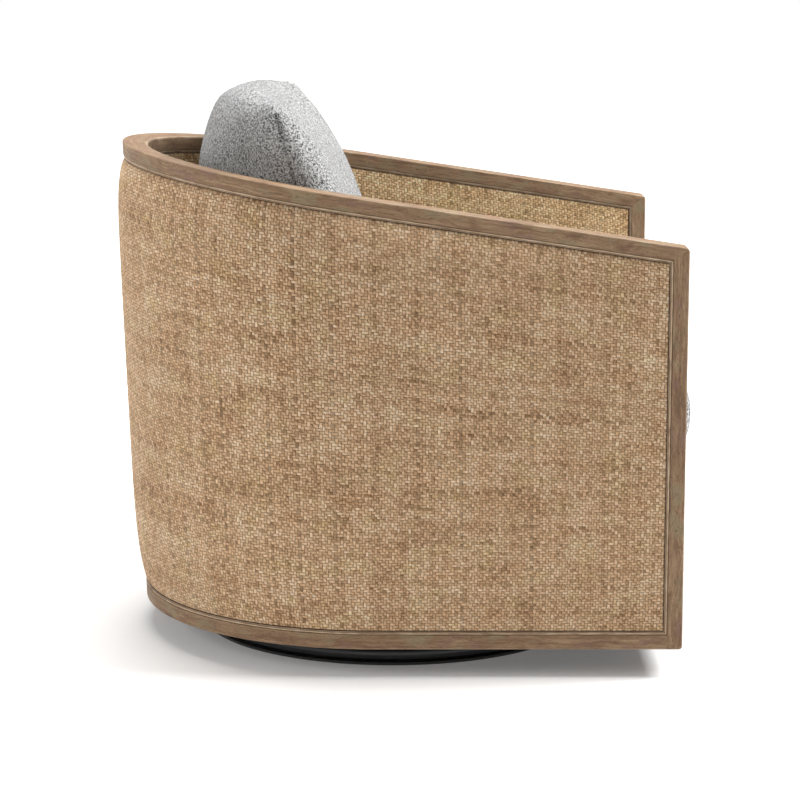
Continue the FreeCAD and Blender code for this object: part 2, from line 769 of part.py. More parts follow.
def upper_bracket():
    x1 = upper_ear_outer
    x0 = x1 - ear_sheet
    end = bracket_end
    outer = lower_ear_outer + flange_past_ear
    flange = box(bracket_inner, outer, -end, end, upper_flange_bottom, upper_flange_top)
    top = upper_flange_bottom
    points = [(-upper_ear_half, top), (upper_ear_half, top), (ear_round, pivot_height),
              (-ear_round, pivot_height)]
    ear = ear_plate(points, x0, x1, pin_radius, pivot_height)
    bracket = flange.fuse(ear).removeSplitter()
    for y in (-mounting_bolt_at[1], mounting_bolt_at[1]):
        bracket = bracket.cut(cylinder(bolt_radius, mounting_bolt_at[0], y, top, upper_flange_top))
    return bracket


def arc_between(start, tangent, reach, end):
    """Arc from start to end that leaves along the tangent, whose corner lies at the reach."""
    corner = start + tangent * reach
    chord_mid = (start + end) * 0.5
    half_chord = (end - start).Length / 2
    rise = (corner - chord_mid).Length
    half_turn = math.atan2(rise, half_chord)
    sagitta = half_chord * math.tan(half_turn / 2)
    middle = chord_mid + (corner - chord_mid) * (sagitta / rise)
    return Part.Arc(start, middle, end)


def coil_path(x, y, z0, z1, turns):
    """Helix from z0 to z1 as pairs of arcs, one pair for each quarter turn."""
    climb = (z1 - z0) / turns
    count = 4 * turns

    def helix_point(k):
        angle = math.pi * k / 2
        return vec(x + spring_mean_radius * math.cos(angle), y + spring_mean_radius * math.sin(angle),
                   z0 + climb * k / 4)

    def helix_tangent(k):
        angle = math.pi * k / 2
        run = 2 * math.pi * spring_mean_radius
        direction = vec(-math.sin(angle) * run, math.cos(angle) * run, climb)
        return direction.normalize()

    arcs = []
    for k in range(count):
        p0, p1 = helix_point(k), helix_point(k + 1)
        t0, t1 = helix_tangent(k), helix_tangent(k + 1)
        across = p1 - p0
        along = across.dot(t0 + t1)
        bend = 2 * (1 - t0.dot(t1))
        reach = (math.sqrt(along * along + bend * across.dot(across)) - along) / bend
        joint = (p0 + t0 * reach + p1 - t1 * reach) * 0.5
        arcs.append(arc_between(p0, t0, reach, joint))
        middle_tangent = (p1 - t1 * reach - joint).normalize()
        arcs.append(arc_between(joint, middle_tangent, reach, p1))
    return arcs


def least_gap(arcs, wire):
    """Least air between the turns of a coil, measured on points along its path."""
    points = []
    points_per_arc = 4
    for arc in arcs:
        step = (arc.LastParameter - arc.FirstParameter) / points_per_arc
        points += [arc.value(arc.FirstParameter + step * k) for k in range(points_per_arc)]
    half_turn = len(points) // (2 * spring_turns)
    nearest = min((points[i] - points[j]).Length for i in range(len(points))
                  for j in range(i + half_turn, len(points)))
    return nearest - wire


def rocker_springs():
    """Four upright coil springs between the brackets, each with its ends ground flat."""
    z0 = lower_flange_top
    z1 = upper_flange_bottom
    springs = {}
    for (x, y), name in zip(four_corners(spring_at), ("rear_left", "rear_right", "front_left",
                                                     "front_right")):
        arcs = coil_path(x, y, z0, z1, spring_turns)
        path = Part.Wire([arc.toShape() for arc in arcs])
        first = arcs[0]
        start = first.value(first.FirstParameter)
        ring = Part.Circle(start, first.tangent(first.FirstParameter)[0], spring_wire / 2)
        coil = path.makePipeShell([Part.Wire([ring.toShape()])], True, False)
        reach = spring_mean_radius + spring_wire
        springs["rocker_spring_" + name] = coil.common(box(x - reach, x + reach, y - reach, y + reach,
                                                           z0, z1))
    print("least gap between the turns of a spring: %.2f mm" % least_gap(arcs, spring_wire))
    return springs


def mechanism():
    lower = lower_bracket()
    upper = upper_bracket()
    inner = spring_mean_radius + spring_wire / 2 + cup_clearance
    lower_cups = []
    upper_cups = []
    for x, y in four_corners(spring_at):
        lower_cups.append(tube(inner + cup_wall, inner, x, y, lower_flange_top,
                               lower_flange_top + cup_height))
        upper_cups.append(tube(inner + cup_wall, inner, x, y, upper_flange_bottom - cup_height,
                               upper_flange_bottom))
    ear0 = lower_ear_inner
    ear1 = lower_ear_outer
    bore = pin_radius + running_clearance
    bush = cross_cylinder(pin_radius + bush_wall, ear0, ear1, 0, pivot_height).cut(
        cross_cylinder(bore, ear0, ear1, 0, pivot_height))
    clip0 = ear1 + ear_gap / 2
    clip1 = clip0 + clip_thickness
    pin_start = upper_ear_outer - ear_sheet
    shank = cross_cylinder(pin_radius, pin_start, clip1 + clip_thickness, 0, pivot_height)
    head = cross_cylinder(pin_head_radius, pin_start - pin_head_height, pin_start, 0, pivot_height)
    pin = shank.fuse(head)
    clip = cross_cylinder(pin_head_radius, clip0, clip1, 0, pivot_height).cut(shank)
    stop_x = (ear0 + ear1) / 2
    stops = [cylinder(stop_radius, x, y, upper_flange_bottom - stop_height, upper_flange_bottom)
             for x, y in four_corners((stop_x, stop_spread))]
    mounting = []
    for x, y in four_corners(mounting_bolt_at):
        z = upper_flange_bottom
        shaft = cylinder(bolt_radius, x, y, z, z + mounting_bolt_length)
        mounting.append(shaft.fuse(hexagon(bolt_radius, x, y, z - bolt_head_height, z)))
    bolts = []
    nuts = []
    for x, y in four_corners(bracket_bolt_at):
        z0 = upper_race_top
        z1 = lower_flange_top + bolt_head_height
        shaft = cylinder(bolt_radius, x, y, z0, z1)
        bolts.append(shaft.fuse(cylinder(bolt_radius * hex_ratio, x, y, z0 - low_head_height, z0)))
        nuts.append(hexagon(bolt_radius, x, y, lower_flange_top, z1).cut(shaft))
    return {
        "lower_bracket_left": lower,
        "lower_bracket_right": mirrored(lower),
        "upper_bracket_left": upper,
        "upper_bracket_right": mirrored(upper),
        "lower_spring_cups": group(lower_cups),
        "upper_spring_cups": group(upper_cups),
        "pivot_bushes": group([bush, mirrored(bush)]),
        "pivot_pins": group([pin, mirrored(pin), clip, mirrored(clip)]),
        "rock_stops": group(stops),
        "mounting_bolts": group(mounting),
        "bracket_bolts": group(bolts + nuts),
    }


def main():
    low = floor_gap + bottom_rail_height
    parts = {}
    parts.update(base())
    parts.update(swivel())
    parts.update(mechanism())
    parts.update(rocker_springs())
    parts.update(wood_frame())
    parts.update(bent_board())
    parts["outer_bead"] = bead_frame(bead_recess, bead_depth, low)
    parts["inner_bead"] = bead_frame(wall - bead_recess, lining_start, inner_panel_bottom - bead_width)
    parts["outer_cane_panel"] = outer_panel()
    parts["inner_cane_panel"] = inner_panel()
    parts.update(seat_frame())
    parts.update(zigzag_springs())
    parts["seat_deck"] = seat_deck()
    parts["dust_cover"] = dust_cover()
    parts.update(front_apron())
    parts.update(cushions())
    os.makedirs("parts", exist_ok=True)
    for name, shape in parts.items():
        shape.exportStep(os.path.join("parts", name + ".step"))
    print(len(parts), "nodes")


main()
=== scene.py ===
import bpy
import json
import math
import numpy as np
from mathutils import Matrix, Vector
from mathutils import noise as wobble
from mathutils.bvhtree import BVHTree
from mathutils.kdtree import KDTree


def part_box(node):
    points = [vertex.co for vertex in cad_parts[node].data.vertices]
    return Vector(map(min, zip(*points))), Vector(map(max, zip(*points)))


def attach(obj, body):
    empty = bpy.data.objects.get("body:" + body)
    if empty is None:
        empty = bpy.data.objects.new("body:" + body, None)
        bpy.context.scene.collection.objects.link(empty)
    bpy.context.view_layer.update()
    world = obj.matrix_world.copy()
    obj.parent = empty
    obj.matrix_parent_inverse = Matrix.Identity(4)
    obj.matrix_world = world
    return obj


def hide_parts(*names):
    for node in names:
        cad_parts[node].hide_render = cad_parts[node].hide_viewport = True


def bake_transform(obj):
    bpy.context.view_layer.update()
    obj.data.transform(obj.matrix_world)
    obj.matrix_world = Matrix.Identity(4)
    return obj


# The looks of a swivel rocker: cane on a barrel shell, weathered oak, looped-yarn cushions, black base.
# Metres in the model's own frame: +Z up, -Y the front, origin on the floor on the swivel axis.

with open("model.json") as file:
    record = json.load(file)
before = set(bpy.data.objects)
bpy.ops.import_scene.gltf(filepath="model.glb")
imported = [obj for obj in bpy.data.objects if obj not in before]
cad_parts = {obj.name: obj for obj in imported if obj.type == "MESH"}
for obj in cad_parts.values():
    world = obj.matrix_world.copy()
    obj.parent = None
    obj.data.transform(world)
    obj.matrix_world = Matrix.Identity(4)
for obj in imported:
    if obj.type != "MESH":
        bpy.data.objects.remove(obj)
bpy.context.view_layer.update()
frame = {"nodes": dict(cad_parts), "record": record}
cad_nodes = frame["nodes"]
MM = 0.001

# The shell, in mm, as the solids have it
SHELL_HALF = 360.0         # half of its width
FRONT = -419.0             # where the arms end
BACK_CENTRE = 27.0         # middle of the round back, at the height of the floor gap
BACK_LEAN = 0.0353         # how far that middle moves back as the wall rises
FLOOR_GAP = 42.0
ARM_TOP = 626.0            # at the front of the arms
ARM_RISE = 0.15            # slope of the arms
WALL = 38.0
WALL_MIDDLE = 300.0        # about halfway up
TOP_RAIL = 20.5
LOW_RAIL = 21.5
POST = 22.0
RIM_TOP = ARM_TOP - ARM_RISE * FRONT
RAIL_INNER = SHELL_HALF - WALL

# Woven panels and the beads round them, in mm
BEAD = 6.0
BEAD_STEP = 0.56           # share of the bead's width where its lower step starts
# Share of the way from rail to weave, and depth behind the rail's face
BEAD_PROFILE = ((0.0, 6.0), (0.0, 2.8), (0.07, 2.8), (0.1, 1.3), (0.16, 0.85), (0.26, 0.62), (0.36, 0.62),
                (0.46, 0.9), (0.52, 1.5), (BEAD_STEP, 2.4), (0.6, 2.0), (0.74, 1.9), (0.86, 2.1),
                (0.91, 3.6), (1.0, 3.8), (1.0, 6.0))
INNER_LOW = 285.0          # lower edge of the inner panel
CANE_RECESS = 1.5
CROWN = 14.3               # how far the outer panel swells
CROWN_REACH_TOP = 30.0
CROWN_REACH_LOW = 45.0
STRAND_ALONG = 4.25        # width of an upright strand
STRAND_UP = 4.0            # height of a level strand
RELIEF = 0.45
RELIEF_FADE = 6.0          # the relief is lower within this reach of the beads
TUCK = 2.2                 # how far the weave is pulled in at the beads
TUCK_REACH = 4.0

# Cushions, in mm and degrees
SEAT_BOTTOM = 300.0
SEAT_TOP = 446.0
SEAT_OVERHANG = 14.0
SEAT_CORNER = 40.0
SEAT_SEAM_TOP = 418.0
SEAT_SEAM_LOW = 324.0
PILLOW_HALF = 285.0
PILLOW_HALF_HEIGHT = 206.0
PILLOW_PLACE = 143.3       # from the back's middle
PILLOW_ABOVE_SEAT = 185.0
PILLOW_LEAN = 21.0
PILLOW_WRAP = 75.0
PILLOW_CORNER_DROP = 9.5
SEAM_SETBACK = 20.0
SEAM_BOW = 10.0
PRINT_PLACE = 130.0        # middle of the flat that the pillow presses into the seat
PRINT_REACH = 240.0
CUSHION_PLAY = 1.0         # between a cushion and the wall
LEAST_RISE = 0.55          # share of its cap that each point of a cushion rises at least

# Cloth under the seat and its staples, in mm
DUST_COVER_TOP = 160.0
DUST_COVER_INSET = 26.3
DUST_COVER_GAP = 0.5       # between the cloth and the post
SAG = 3.5                  # under the zigzag springs
SAG_HALF = 300.0
SAG_FRONT = -372.0
SAG_BACK = -136.0
STAPLE_INSET = 8.0
STAPLE_HALF = 5.0
STAPLE_HALF_WIRE = 0.6
STAPLE_PITCH = 60

# Rocker springs, in mm
SPRING_LOW = 49.5
SPRING_HIGH = 155.0
SPRING_RADIUS = 17.0
SPRING_WIRE = 6.0
SPRING_TURNS = 8
SPRING_STEPS = 24          # points to a turn
SPRING_PLACES = {"rear_left": (66.0, 78.0), "rear_right": (-66.0, 78.0), "front_left": (66.0, -78.0),
                 "front_right": (-66.0, -78.0)}

rng = np.random.default_rng(7)


# Camera at the photograph's place
CAMERA_AT = (-4.02822, -0.011114, 1.095155)
CAMERA_PITCH = math.radians(10.5903)
CAMERA_LENS = 118.2544     # on a 36 mm sensor


def aim(name, data, place, look):
    """Puts a camera or a lamp at its place and points it along the look."""
    made = bpy.data.objects.new(name, data)
    bpy.context.scene.collection.objects.link(made)
    made.location = place
    made.rotation_mode = "QUATERNION"
    made.rotation_quaternion = look.to_track_quat("-Z", "Y")
    return made


def make_camera():
    data = bpy.data.cameras.new("camera")
    data.sensor_width = 36.0
    data.lens = CAMERA_LENS
    look = Vector((math.cos(CAMERA_PITCH), 0.0, -math.sin(CAMERA_PITCH)))
    bpy.context.scene.camera = aim("camera", data, CAMERA_AT, look)


# Node helpers
class Net:
    """A material's node tree, with short calls for the nodes that the materials share."""

    def __init__(self, name, roughness=0.6, specular=0.5, metallic=0.0, sheen=0.0, sheen_tint=None):
        self.material = bpy.data.materials.new(name)
        self.material.use_nodes = True
        self.tree = self.material.node_tree
        self.tree.nodes.clear()
        self.out = self.tree.nodes.new("ShaderNodeOutputMaterial")
        self.shader = self.tree.nodes.new("ShaderNodeBsdfPrincipled")
        self.tree.links.new(self.shader.outputs["BSDF"], self.out.inputs["Surface"])
        self.shader.inputs["Roughness"].default_value = roughness
        self.shader.inputs["Specular IOR Level"].default_value = specular
        self.shader.inputs["Metallic"].default_value = metallic
        self.shader.inputs["Sheen Weight"].default_value = sheen
        if sheen_tint:
            self.shader.inputs["Sheen Tint"].default_value = (*sheen_tint, 1)

    def node(self, kind, **settings):
        made = self.tree.nodes.new(kind)
        for key, value in settings.items():
            setattr(made, key, value)
        return made

    def put(self, socket, value):
        if isinstance(value, bpy.types.NodeSocket):
            self.tree.links.new(value, socket)
        elif isinstance(value, tuple) and len(value) == 3 and len(socket.default_value) == 4:
            socket.default_value = (*value, 1)
        else:
            socket.default_value = value

    def math(self, operation, *values):
        made = self.node("ShaderNodeMath", operation=operation)
        for socket, value in zip(made.inputs, values):
            self.put(socket, value)
        return made.outputs[0]

    def plus(self, first, second):
        return self.math("ADD", first, second)

    def minus(self, first, second):
        return self.math("SUBTRACT", first, second)

    def times(self, first, second):
        return self.math("MULTIPLY", first, second)

    def weighted(self, *pairs):
        """Sum of values, each times its weight."""
        total = self.times(*pairs[0])
        for value, weight in pairs[1:]:
            total = self.plus(total, self.times(value, weight))
        return total

    def split(self, vector):
        made = self.node("ShaderNodeSeparateXYZ")
        self.put(made.inputs[0], vector)
        return made.outputs

    def join(self, x, y, z=0.0):
        made = self.node("ShaderNodeCombineXYZ")
        for socket, value in zip(made.inputs, (x, y, z)):
            self.put(socket, value)
        return made.outputs[0]

    def vector_math(self, operation, first, second):
        made = self.node("ShaderNodeVectorMath", operation=operation)
        self.put(made.inputs[0], first)
        self.put(made.inputs[1], second)
        return made.outputs[0]

    def scaled(self, vector, x, y, z):
        return self.vector_math("MULTIPLY", vector, (x, y, z))

    def moved(self, vector, shift):
        return self.vector_math("ADD", vector, shift)

    def place(self):
        """Position on the object at rest, in mm."""
        return self.scaled(self.node("ShaderNodeTexCoord").outputs["Object"], 1000, 1000, 1000)

    def noise(self, vector, scale=1.0, detail=3.0, rough=0.5, distortion=0.0):
        made = self.node("ShaderNodeTexNoise")
        self.put(made.inputs["Vector"], vector)
        made.inputs["Scale"].default_value = scale
        made.inputs["Detail"].default_value = detail
        made.inputs["Roughness"].default_value = rough
        made.inputs["Distortion"].default_value = distortion
        return made.outputs["Fac"]

    def cells(self, vector, scale):
        made = self.node("ShaderNodeTexVoronoi")
        self.put(made.inputs["Vector"], vector)
        made.inputs["Scale"].default_value = scale
        return made.outputs["Distance"]

    def random(self, value):
        made = self.node("ShaderNodeTexWhiteNoise", noise_dimensions="1D")
        self.put(made.inputs["W"], value)
        return made.outputs["Value"]

    def ramp(self, value, *stops):
        """Colours at stops of (place, (r, g, b)), in order."""
        made = self.node("ShaderNodeValToRGB")
        self.put(made.inputs[0], value)
        elements = made.color_ramp.elements
        while len(elements) < len(stops):
            elements.new(0.5)
        for element, (place, colour) in zip(elements, stops):
            element.position = place
            element.color = (*colour, 1)
        return made.outputs["Color"]

    def spread(self, value, low, high, new_low=0.0, new_high=1.0):
        made = self.node("ShaderNodeMapRange")
        for socket, number in zip(made.inputs, (value, low, high, new_low, new_high)):
            self.put(socket, number)
        return made.outputs[0]

    def mixed(self, kind, share, first, second, **settings):
        """Mix node, in which each kind of value has its own two inputs and its own output."""
        made = self.node("ShaderNodeMix", data_type=kind, **settings)
        slot = ("FLOAT", "VECTOR", "RGBA").index(kind)
        for index, value in ((0, share), (2 * slot + 2, first), (2 * slot + 3, second)):
            self.put(made.inputs[index], value)
        return made.outputs[slot]

    def mix(self, share, first, second, blend="MIX"):
        return self.mixed("RGBA", share, first, second, blend_type=blend)

    def choose(self, share, first, second):
        return self.mixed("FLOAT", share, first, second)

    def choose_vector(self, share, first, second):
        return self.mixed("VECTOR", share, first, second)

    def bump(self, height, distance, strength=1.0):
        made = self.node("ShaderNodeBump")
        made.inputs["Strength"].default_value = strength
        made.inputs["Distance"].default_value = distance
        self.put(made.inputs["Height"], height)
        return made.outputs[0]

    def finish(self, colour, normal, roughness=None):
        self.put(self.shader.inputs["Base Color"], colour)
        self.put(self.shader.inputs["Normal"], normal)
        if roughness is not None:
            self.put(self.shader.inputs["Roughness"], roughness)
        return self.material


def wall_coordinates(net, slope):
    """Along the U-shaped wall, through it, and up from the sloping rail line, in mm."""
    apart = 2000.0  # keeps the grain of the two sides different
    x, y, z = net.split(net.place())
    past = net.minus(net.minus(y, BACK_CENTRE), net.times(z, BACK_LEAN))
    behind = net.math("MAXIMUM", past, 0.0)
    ahead = net.math("MINIMUM", past, 0.0)
    side = net.math("ABSOLUTE", x)
    turn = net.math("ARCTAN2", behind, side)
    along = net.plus(ahead, net.times(turn, SHELL_HALF))
    through = net.math("SQRT", net.plus(net.times(behind, behind), net.times(side, side)))
    up = net.minus(z, net.times(y, slope))
    return net.join(net.plus(along, net.times(net.math("SIGN", x), apart)), through, up)


def oak(name, layout, slope=0.0, free_edge=None):
    """Weathered brown oak, with a painted highlight along its free edge. The layout says which way the
    grain runs.
    """
    net = Net(name, roughness=0.62, specular=0.35)
    if layout == "wall":
        grain = wall_coordinates(net, slope)
        through, up = net.split(grain)[1:]
    else:
        x, y, z = net.split(net.place())
        grain = net.join(z, x, y) if layout == "upright" else net.join(x, y, z)
        through = net.math("ABSOLUTE", x)
        up = y if layout == "upright" else z
    warp = net.times(net.noise(net.scaled(grain, 0.012, 0.035, 0.035), detail=2.0), 26.0)
    curled = net.moved(grain, net.join(0.0, warp, warp))
    blotches = net.noise(net.scaled(grain, 0.02, 0.05, 0.05), detail=4.0, rough=0.6)
    bands = net.noise(net.scaled(curled, 0.006, 0.22, 0.22), detail=4.0, rough=0.6, distortion=0.4)
    streaks = net.noise(net.scaled(curled, 0.03, 0.9, 0.9), detail=5.0, rough=0.65, distortion=0.2)
    pores = net.noise(net.scaled(curled, 0.08, 2.4, 2.4), detail=2.0)
    tone_at = net.weighted((bands, 0.45), (streaks, 0.3), (blotches, 0.25))
    wood = net.ramp(tone_at, (0.36, (0.12, 0.063, 0.033)), (0.45, (0.21, 0.121, 0.065)),
                    (0.53, (0.29, 0.180, 0.099)), (0.64, (0.41, 0.275, 0.16)))
    stain = net.noise(net.scaled(grain, 0.03, 0.06, 0.06), detail=3.0)
    wood = net.mix(net.spread(stain, 0.42, 0.30, 0.0, 0.6), wood, (0.235, 0.135, 0.105))
    wood = net.mix(net.spread(stain, 0.55, 0.68, 0.0, 0.6), wood, (0.265, 0.215, 0.125))
    pore_mask = net.spread(pores, 0.32, 0.42, 0.8, 0.0)
    colour = net.mix(pore_mask, wood, (0.06, 0.034, 0.02))
    if free_edge is not None:
        # Painted highlight: the colour is lightened in patches along the free edge and the faces beside it.
        to_face = net.math("MINIMUM", net.minus(SHELL_HALF, through), net.minus(through, RAIL_INNER))
        to_end = net.math("ABSOLUTE", net.minus(up, free_edge))
        painted_edge_highlight = net.spread(net.plus(to_face, to_end), 0.8, 2.6, 0.55, 0.0)
        painted_edge_highlight = net.times(painted_edge_highlight, net.spread(blotches, 0.35, 0.6, 0.2, 1.0))
        colour = net.mix(painted_edge_highlight, colour, (0.60, 0.46, 0.33))
    height = net.minus(streaks, net.times(pore_mask, 0.8))
    return net.finish(colour, net.bump(height, 0.0006, 0.8), net.spread(streaks, 0.3, 0.7, 0.52, 0.72))


def bead_oak(name):
    """Oak of the beads. Across the strip, the UV map's second value runs from the rail to the weave."""
    net = Net(name, roughness=0.6, specular=0.35)
    u, v = net.split(net.node("ShaderNodeUVMap", uv_map="profile").outputs[0])[:2]
    grain = net.noise(net.join(net.times(u, 0.03), net.times(v, 9.0)), detail=4.0, rough=0.6)
    blotches = net.noise(net.join(net.times(u, 0.05), v), detail=3.0)
    wood = net.ramp(net.weighted((grain, 0.5), (blotches, 0.5)), (0.36, (0.22, 0.135, 0.08)),
                    (0.48, (0.44, 0.31, 0.195)), (0.64, (0.66, 0.51, 0.36)))
    # The lower, recessed step is coloured darker.
    lower = net.math("GREATER_THAN", v, BEAD_STEP)
    stepped = net.mix(net.times(lower, 0.45), wood, (0.16, 0.098, 0.055))
    # Painted shade: dark lines in the grooves beside the rail, beside the weave and between the two steps.
    near_rail = net.spread(v, 0.10, 0.17, 0.8, 0.0)
    near_weave = net.spread(v, 0.76, 0.86, 0.0, 1.0)
    between = net.spread(net.math("ABSOLUTE", net.minus(v, BEAD_STEP)), 0.02, 0.07, 0.7, 0.0)
    painted_groove_shade = net.math("MAXIMUM", net.math("MAXIMUM", near_rail, near_weave), between)
    colour = net.mix(painted_groove_shade, stepped, (0.065, 0.037, 0.02))
    return net.finish(colour, net.bump(grain, 0.0004, 0.6), net.spread(grain, 0.3, 0.7, 0.5, 0.7))


def cane(name, tone=1.0, gold=1.0):
    """Split strands in a two-over-two weave. One step of the UV map is one strand."""
    net = Net(name, roughness=0.6, specular=0.3)
    uv = net.node("ShaderNodeUVMap", uv_map="strands").outputs[0]
    jitter = net.noise(net.scaled(uv, 0.9, 0.9, 1.0), detail=2.0)
    shift = net.times(net.minus(jitter, 0.5), 0.55)
    u, v = net.split(net.moved(uv, net.join(shift, net.times(shift, -1.0))))[:2]
    column = net.math("FLOOR", u)
    row = net.math("FLOOR", v)
    fu = net.math("FRACT", u)
    fv = net.math("FRACT", v)
    phase = net.math("FLOORED_MODULO", net.plus(net.minus(column, row), 0.5), 4.0)
    upright = net.math("LESS_THAN", phase, 2.0)
    step = net.math("FLOOR", phase)
    run = net.choose(upright, net.plus(fu, net.minus(step, 2.0)), net.plus(fv, net.minus(1.0, step)))
    across = net.choose(upright, fv, fu)

    # Relief of one strand: it dips where it runs under the others, and has two plies
    dome = net.math("SINE", net.times(run, math.pi / 2))
    side = net.math("SINE", net.times(across, math.pi))
    plies = net.math("ABSOLUTE", net.math("SINE", net.times(across, 2 * math.pi)))
    round_ply = net.weighted((net.math("POWER", side, 0.5), 0.6), (net.math("POWER", plies, 0.6), 0.4))
    ragged = net.noise(net.scaled(uv, 3.1, 3.1, 1.0), detail=2.0)
    height = net.times(round_ply, net.math("POWER", dome, 0.4))
    height = net.plus(height, net.times(net.minus(ragged, 0.5), 0.8))

    # Tones of the strand, its bundle, each visible piece, its fibres and the patches over them
    strand = net.choose(upright, net.plus(row, 5000.5), net.plus(column, 0.5))
    own = net.random(strand)
    bundle_along = net.choose(upright, net.times(u, 0.012), net.times(v, 0.02))
    bundle = net.noise(net.join(net.times(strand, 0.22), bundle_along), detail=3.0, rough=0.7)
    piece = net.random(net.plus(net.times(column, 7.31), net.times(row, 3.77)))
    lengthwise = net.choose_vector(upright, net.scaled(uv, 0.7, 5.0, 1.0), net.scaled(uv, 5.0, 0.7, 1.0))
    fibres = net.noise(lengthwise, detail=3.0, rough=0.65)
    patches = net.noise(net.scaled(uv, 0.05, 0.07, 1.0), detail=5.0, rough=0.65)
    bits = net.noise(net.scaled(uv, 0.8, 0.8, 1.0), detail=3.0, rough=0.65)
    tone_at = net.weighted((own, 0.06), (fibres, 0.30), (patches, 0.2), (bits, 0.14), (bundle, 0.2),
                           (piece, 0.1))

    def toned(*colour):
        return tuple(channel * tone for channel in colour)

    straw = net.ramp(tone_at, (0.38, toned(0.26, 0.145, 0.066)), (0.45, toned(0.56, 0.36, 0.20)),
                     (0.52, toned(0.78, 0.555, 0.34)), (0.61, toned(0.95, 0.80, 0.60)))
    tint = net.noise(net.scaled(uv, 0.09, 0.11, 1.0), detail=2.0)
    tinted = net.mix(net.spread(tint, 0.4, 0.62, 0.0, 0.6), straw, (1.0, 0.90, 0.81), blend="MULTIPLY")
    tinted = net.mix(net.spread(tint, 0.34, 0.48, 0.5, 0.0), tinted, (1.0, 0.98, 0.78), blend="MULTIPLY")
    tinted = net.mix(1.0, tinted, (1.0, 0.97 * gold, 0.95 / gold), blend="MULTIPLY")

    # Stained strands, holes, and painted shade in the gaps between strands and where a strand runs under
    # the next
    aged = net.math("GREATER_THAN", net.random(net.plus(strand, 77.0)), 0.955)
    stretch = net.noise(net.join(strand, net.times(net.choose(upright, u, v), 0.05)), detail=1.0)
    stained = net.times(net.times(aged, net.spread(stretch, 0.40, 0.5)), net.choose(upright, 0.25, 0.55))
    holes = net.spread(bits, 0.27, 0.31, 0.85, 0.0)
    # Painted shade: the lower the relief, the darker the strand.
    painted_gap_shade = net.spread(height, 0.08, 0.72, 0.85, 0.0)
    dark = net.math("MAXIMUM", net.math("MAXIMUM", painted_gap_shade, net.times(stained, 0.8)), holes)
    colour = net.mix(dark, tinted, toned(0.085, 0.04, 0.017))
    relief = net.plus(height, net.times(fibres, 0.2))
    return net.finish(colour, net.bump(relief, 0.0018), net.spread(own, 0.0, 1.0, 0.5, 0.68))


def looped_yarn(name):
    """Pale looped-yarn fabric, with painted shade in the hollows between its loops."""
    net = Net(name, roughness=0.9, specular=0.15, sheen=0.2, sheen_tint=(0.95, 0.95, 0.95))
    at = net.place()
    warp = net.noise(at, scale=0.12, detail=2.0)
    shifted = net.moved(at, net.join(net.times(warp, 6.0), net.times(warp, -5.0)))
    loops = net.cells(shifted, scale=0.42)
    curls = net.noise(shifted, scale=0.40, detail=3.0, rough=0.6, distortion=1.2)
    pile = net.minus(net.times(curls, 1.3), net.times(loops, 0.4))
    patches = net.noise(at, scale=0.02, detail=3.0)
    # Painted shade: the hollows between the loops are darkened in the colour.
    painted_hollow_shade = net.spread(pile, 0.34, 0.48, 1.0, 0.0)
    pale = net.ramp(net.weighted((curls, 0.7), (patches, 0.3)), (0.38, (0.68, 0.675, 0.66)),
                    (0.47, (0.88, 0.88, 0.87)), (0.56, (0.95, 0.95, 0.945)))
    colour = net.mix(painted_hollow_shade, pale, (0.075, 0.075, 0.078))
    return net.finish(colour, net.bump(pile, 0.006))


def black_paint(name):
    net = Net(name, roughness=0.38)
    at = net.place()
    peel = net.noise(at, scale=0.35, detail=3.0)
    dust = net.noise(at, scale=0.03, detail=4.0, rough=0.65)
    colour = net.ramp(dust, (0.3, (0.009, 0.009, 0.010)), (0.6, (0.016, 0.016, 0.017)),
                      (0.8, (0.032, 0.031, 0.030)))
    return net.finish(colour, net.bump(peel, 0.0002, 0.3), net.spread(dust, 0.3, 0.75, 0.30, 0.48))


def bright_steel(name):
    net = Net(name, roughness=0.3, metallic=1.0)
    at = net.place()
    brushed = net.noise(net.scaled(at, 0.2, 2.4, 2.4), detail=3.0)
    stains = net.noise(at, scale=0.05, detail=4.0)
    colour = net.ramp(stains, (0.3, (0.42, 0.41, 0.39)), (0.6, (0.60, 0.60, 0.60)),
                      (0.8, (0.68, 0.68, 0.69)))
    return net.finish(colour, net.bump(brushed, 0.0001, 0.4), net.spread(brushed, 0.3, 0.7, 0.24, 0.42))


def spring_steel(name):
    net = Net(name, roughness=0.34, metallic=1.0)
    at = net.place()
    scale = net.noise(at, scale=0.5, detail=4.0)
    oil = net.noise(at, scale=0.06, detail=3.0)
    colour = net.ramp(net.times(net.plus(scale, oil), 0.5), (0.35, (0.10, 0.095, 0.09)),
                      (0.55, (0.21, 0.20, 0.19)), (0.7, (0.34, 0.33, 0.31)))
    return net.finish(colour, net.bump(scale, 0.0001, 0.5), net.spread(oil, 0.3, 0.7, 0.28, 0.5))


def dark_plastic(name):
    net = Net(name, roughness=0.5, specular=0.4)
    at = net.place()
    grain = net.noise(at, scale=1.2, detail=3.0)
    scuffs = net.noise(net.scaled(at, 0.05, 0.4, 0.05), detail=4.0)
    colour = net.ramp(scuffs, (0.35, (0.018, 0.018, 0.018)), (0.7, (0.035, 0.035, 0.034)))
    return net.finish(colour, net.bump(grain, 0.00015, 0.5), net.spread(scuffs, 0.3, 0.7, 0.42, 0.6))


def soft_rubber(name):
    net = Net(name, roughness=0.75, specular=0.3)
    at = net.place()
    grain = net.noise(at, scale=0.9, detail=4.0)
    colour = net.ramp(grain, (0.3, (0.02, 0.02, 0.02)), (0.7, (0.045, 0.044, 0.043)))
    return net.finish(colour, net.bump(grain, 0.0003, 0.5))


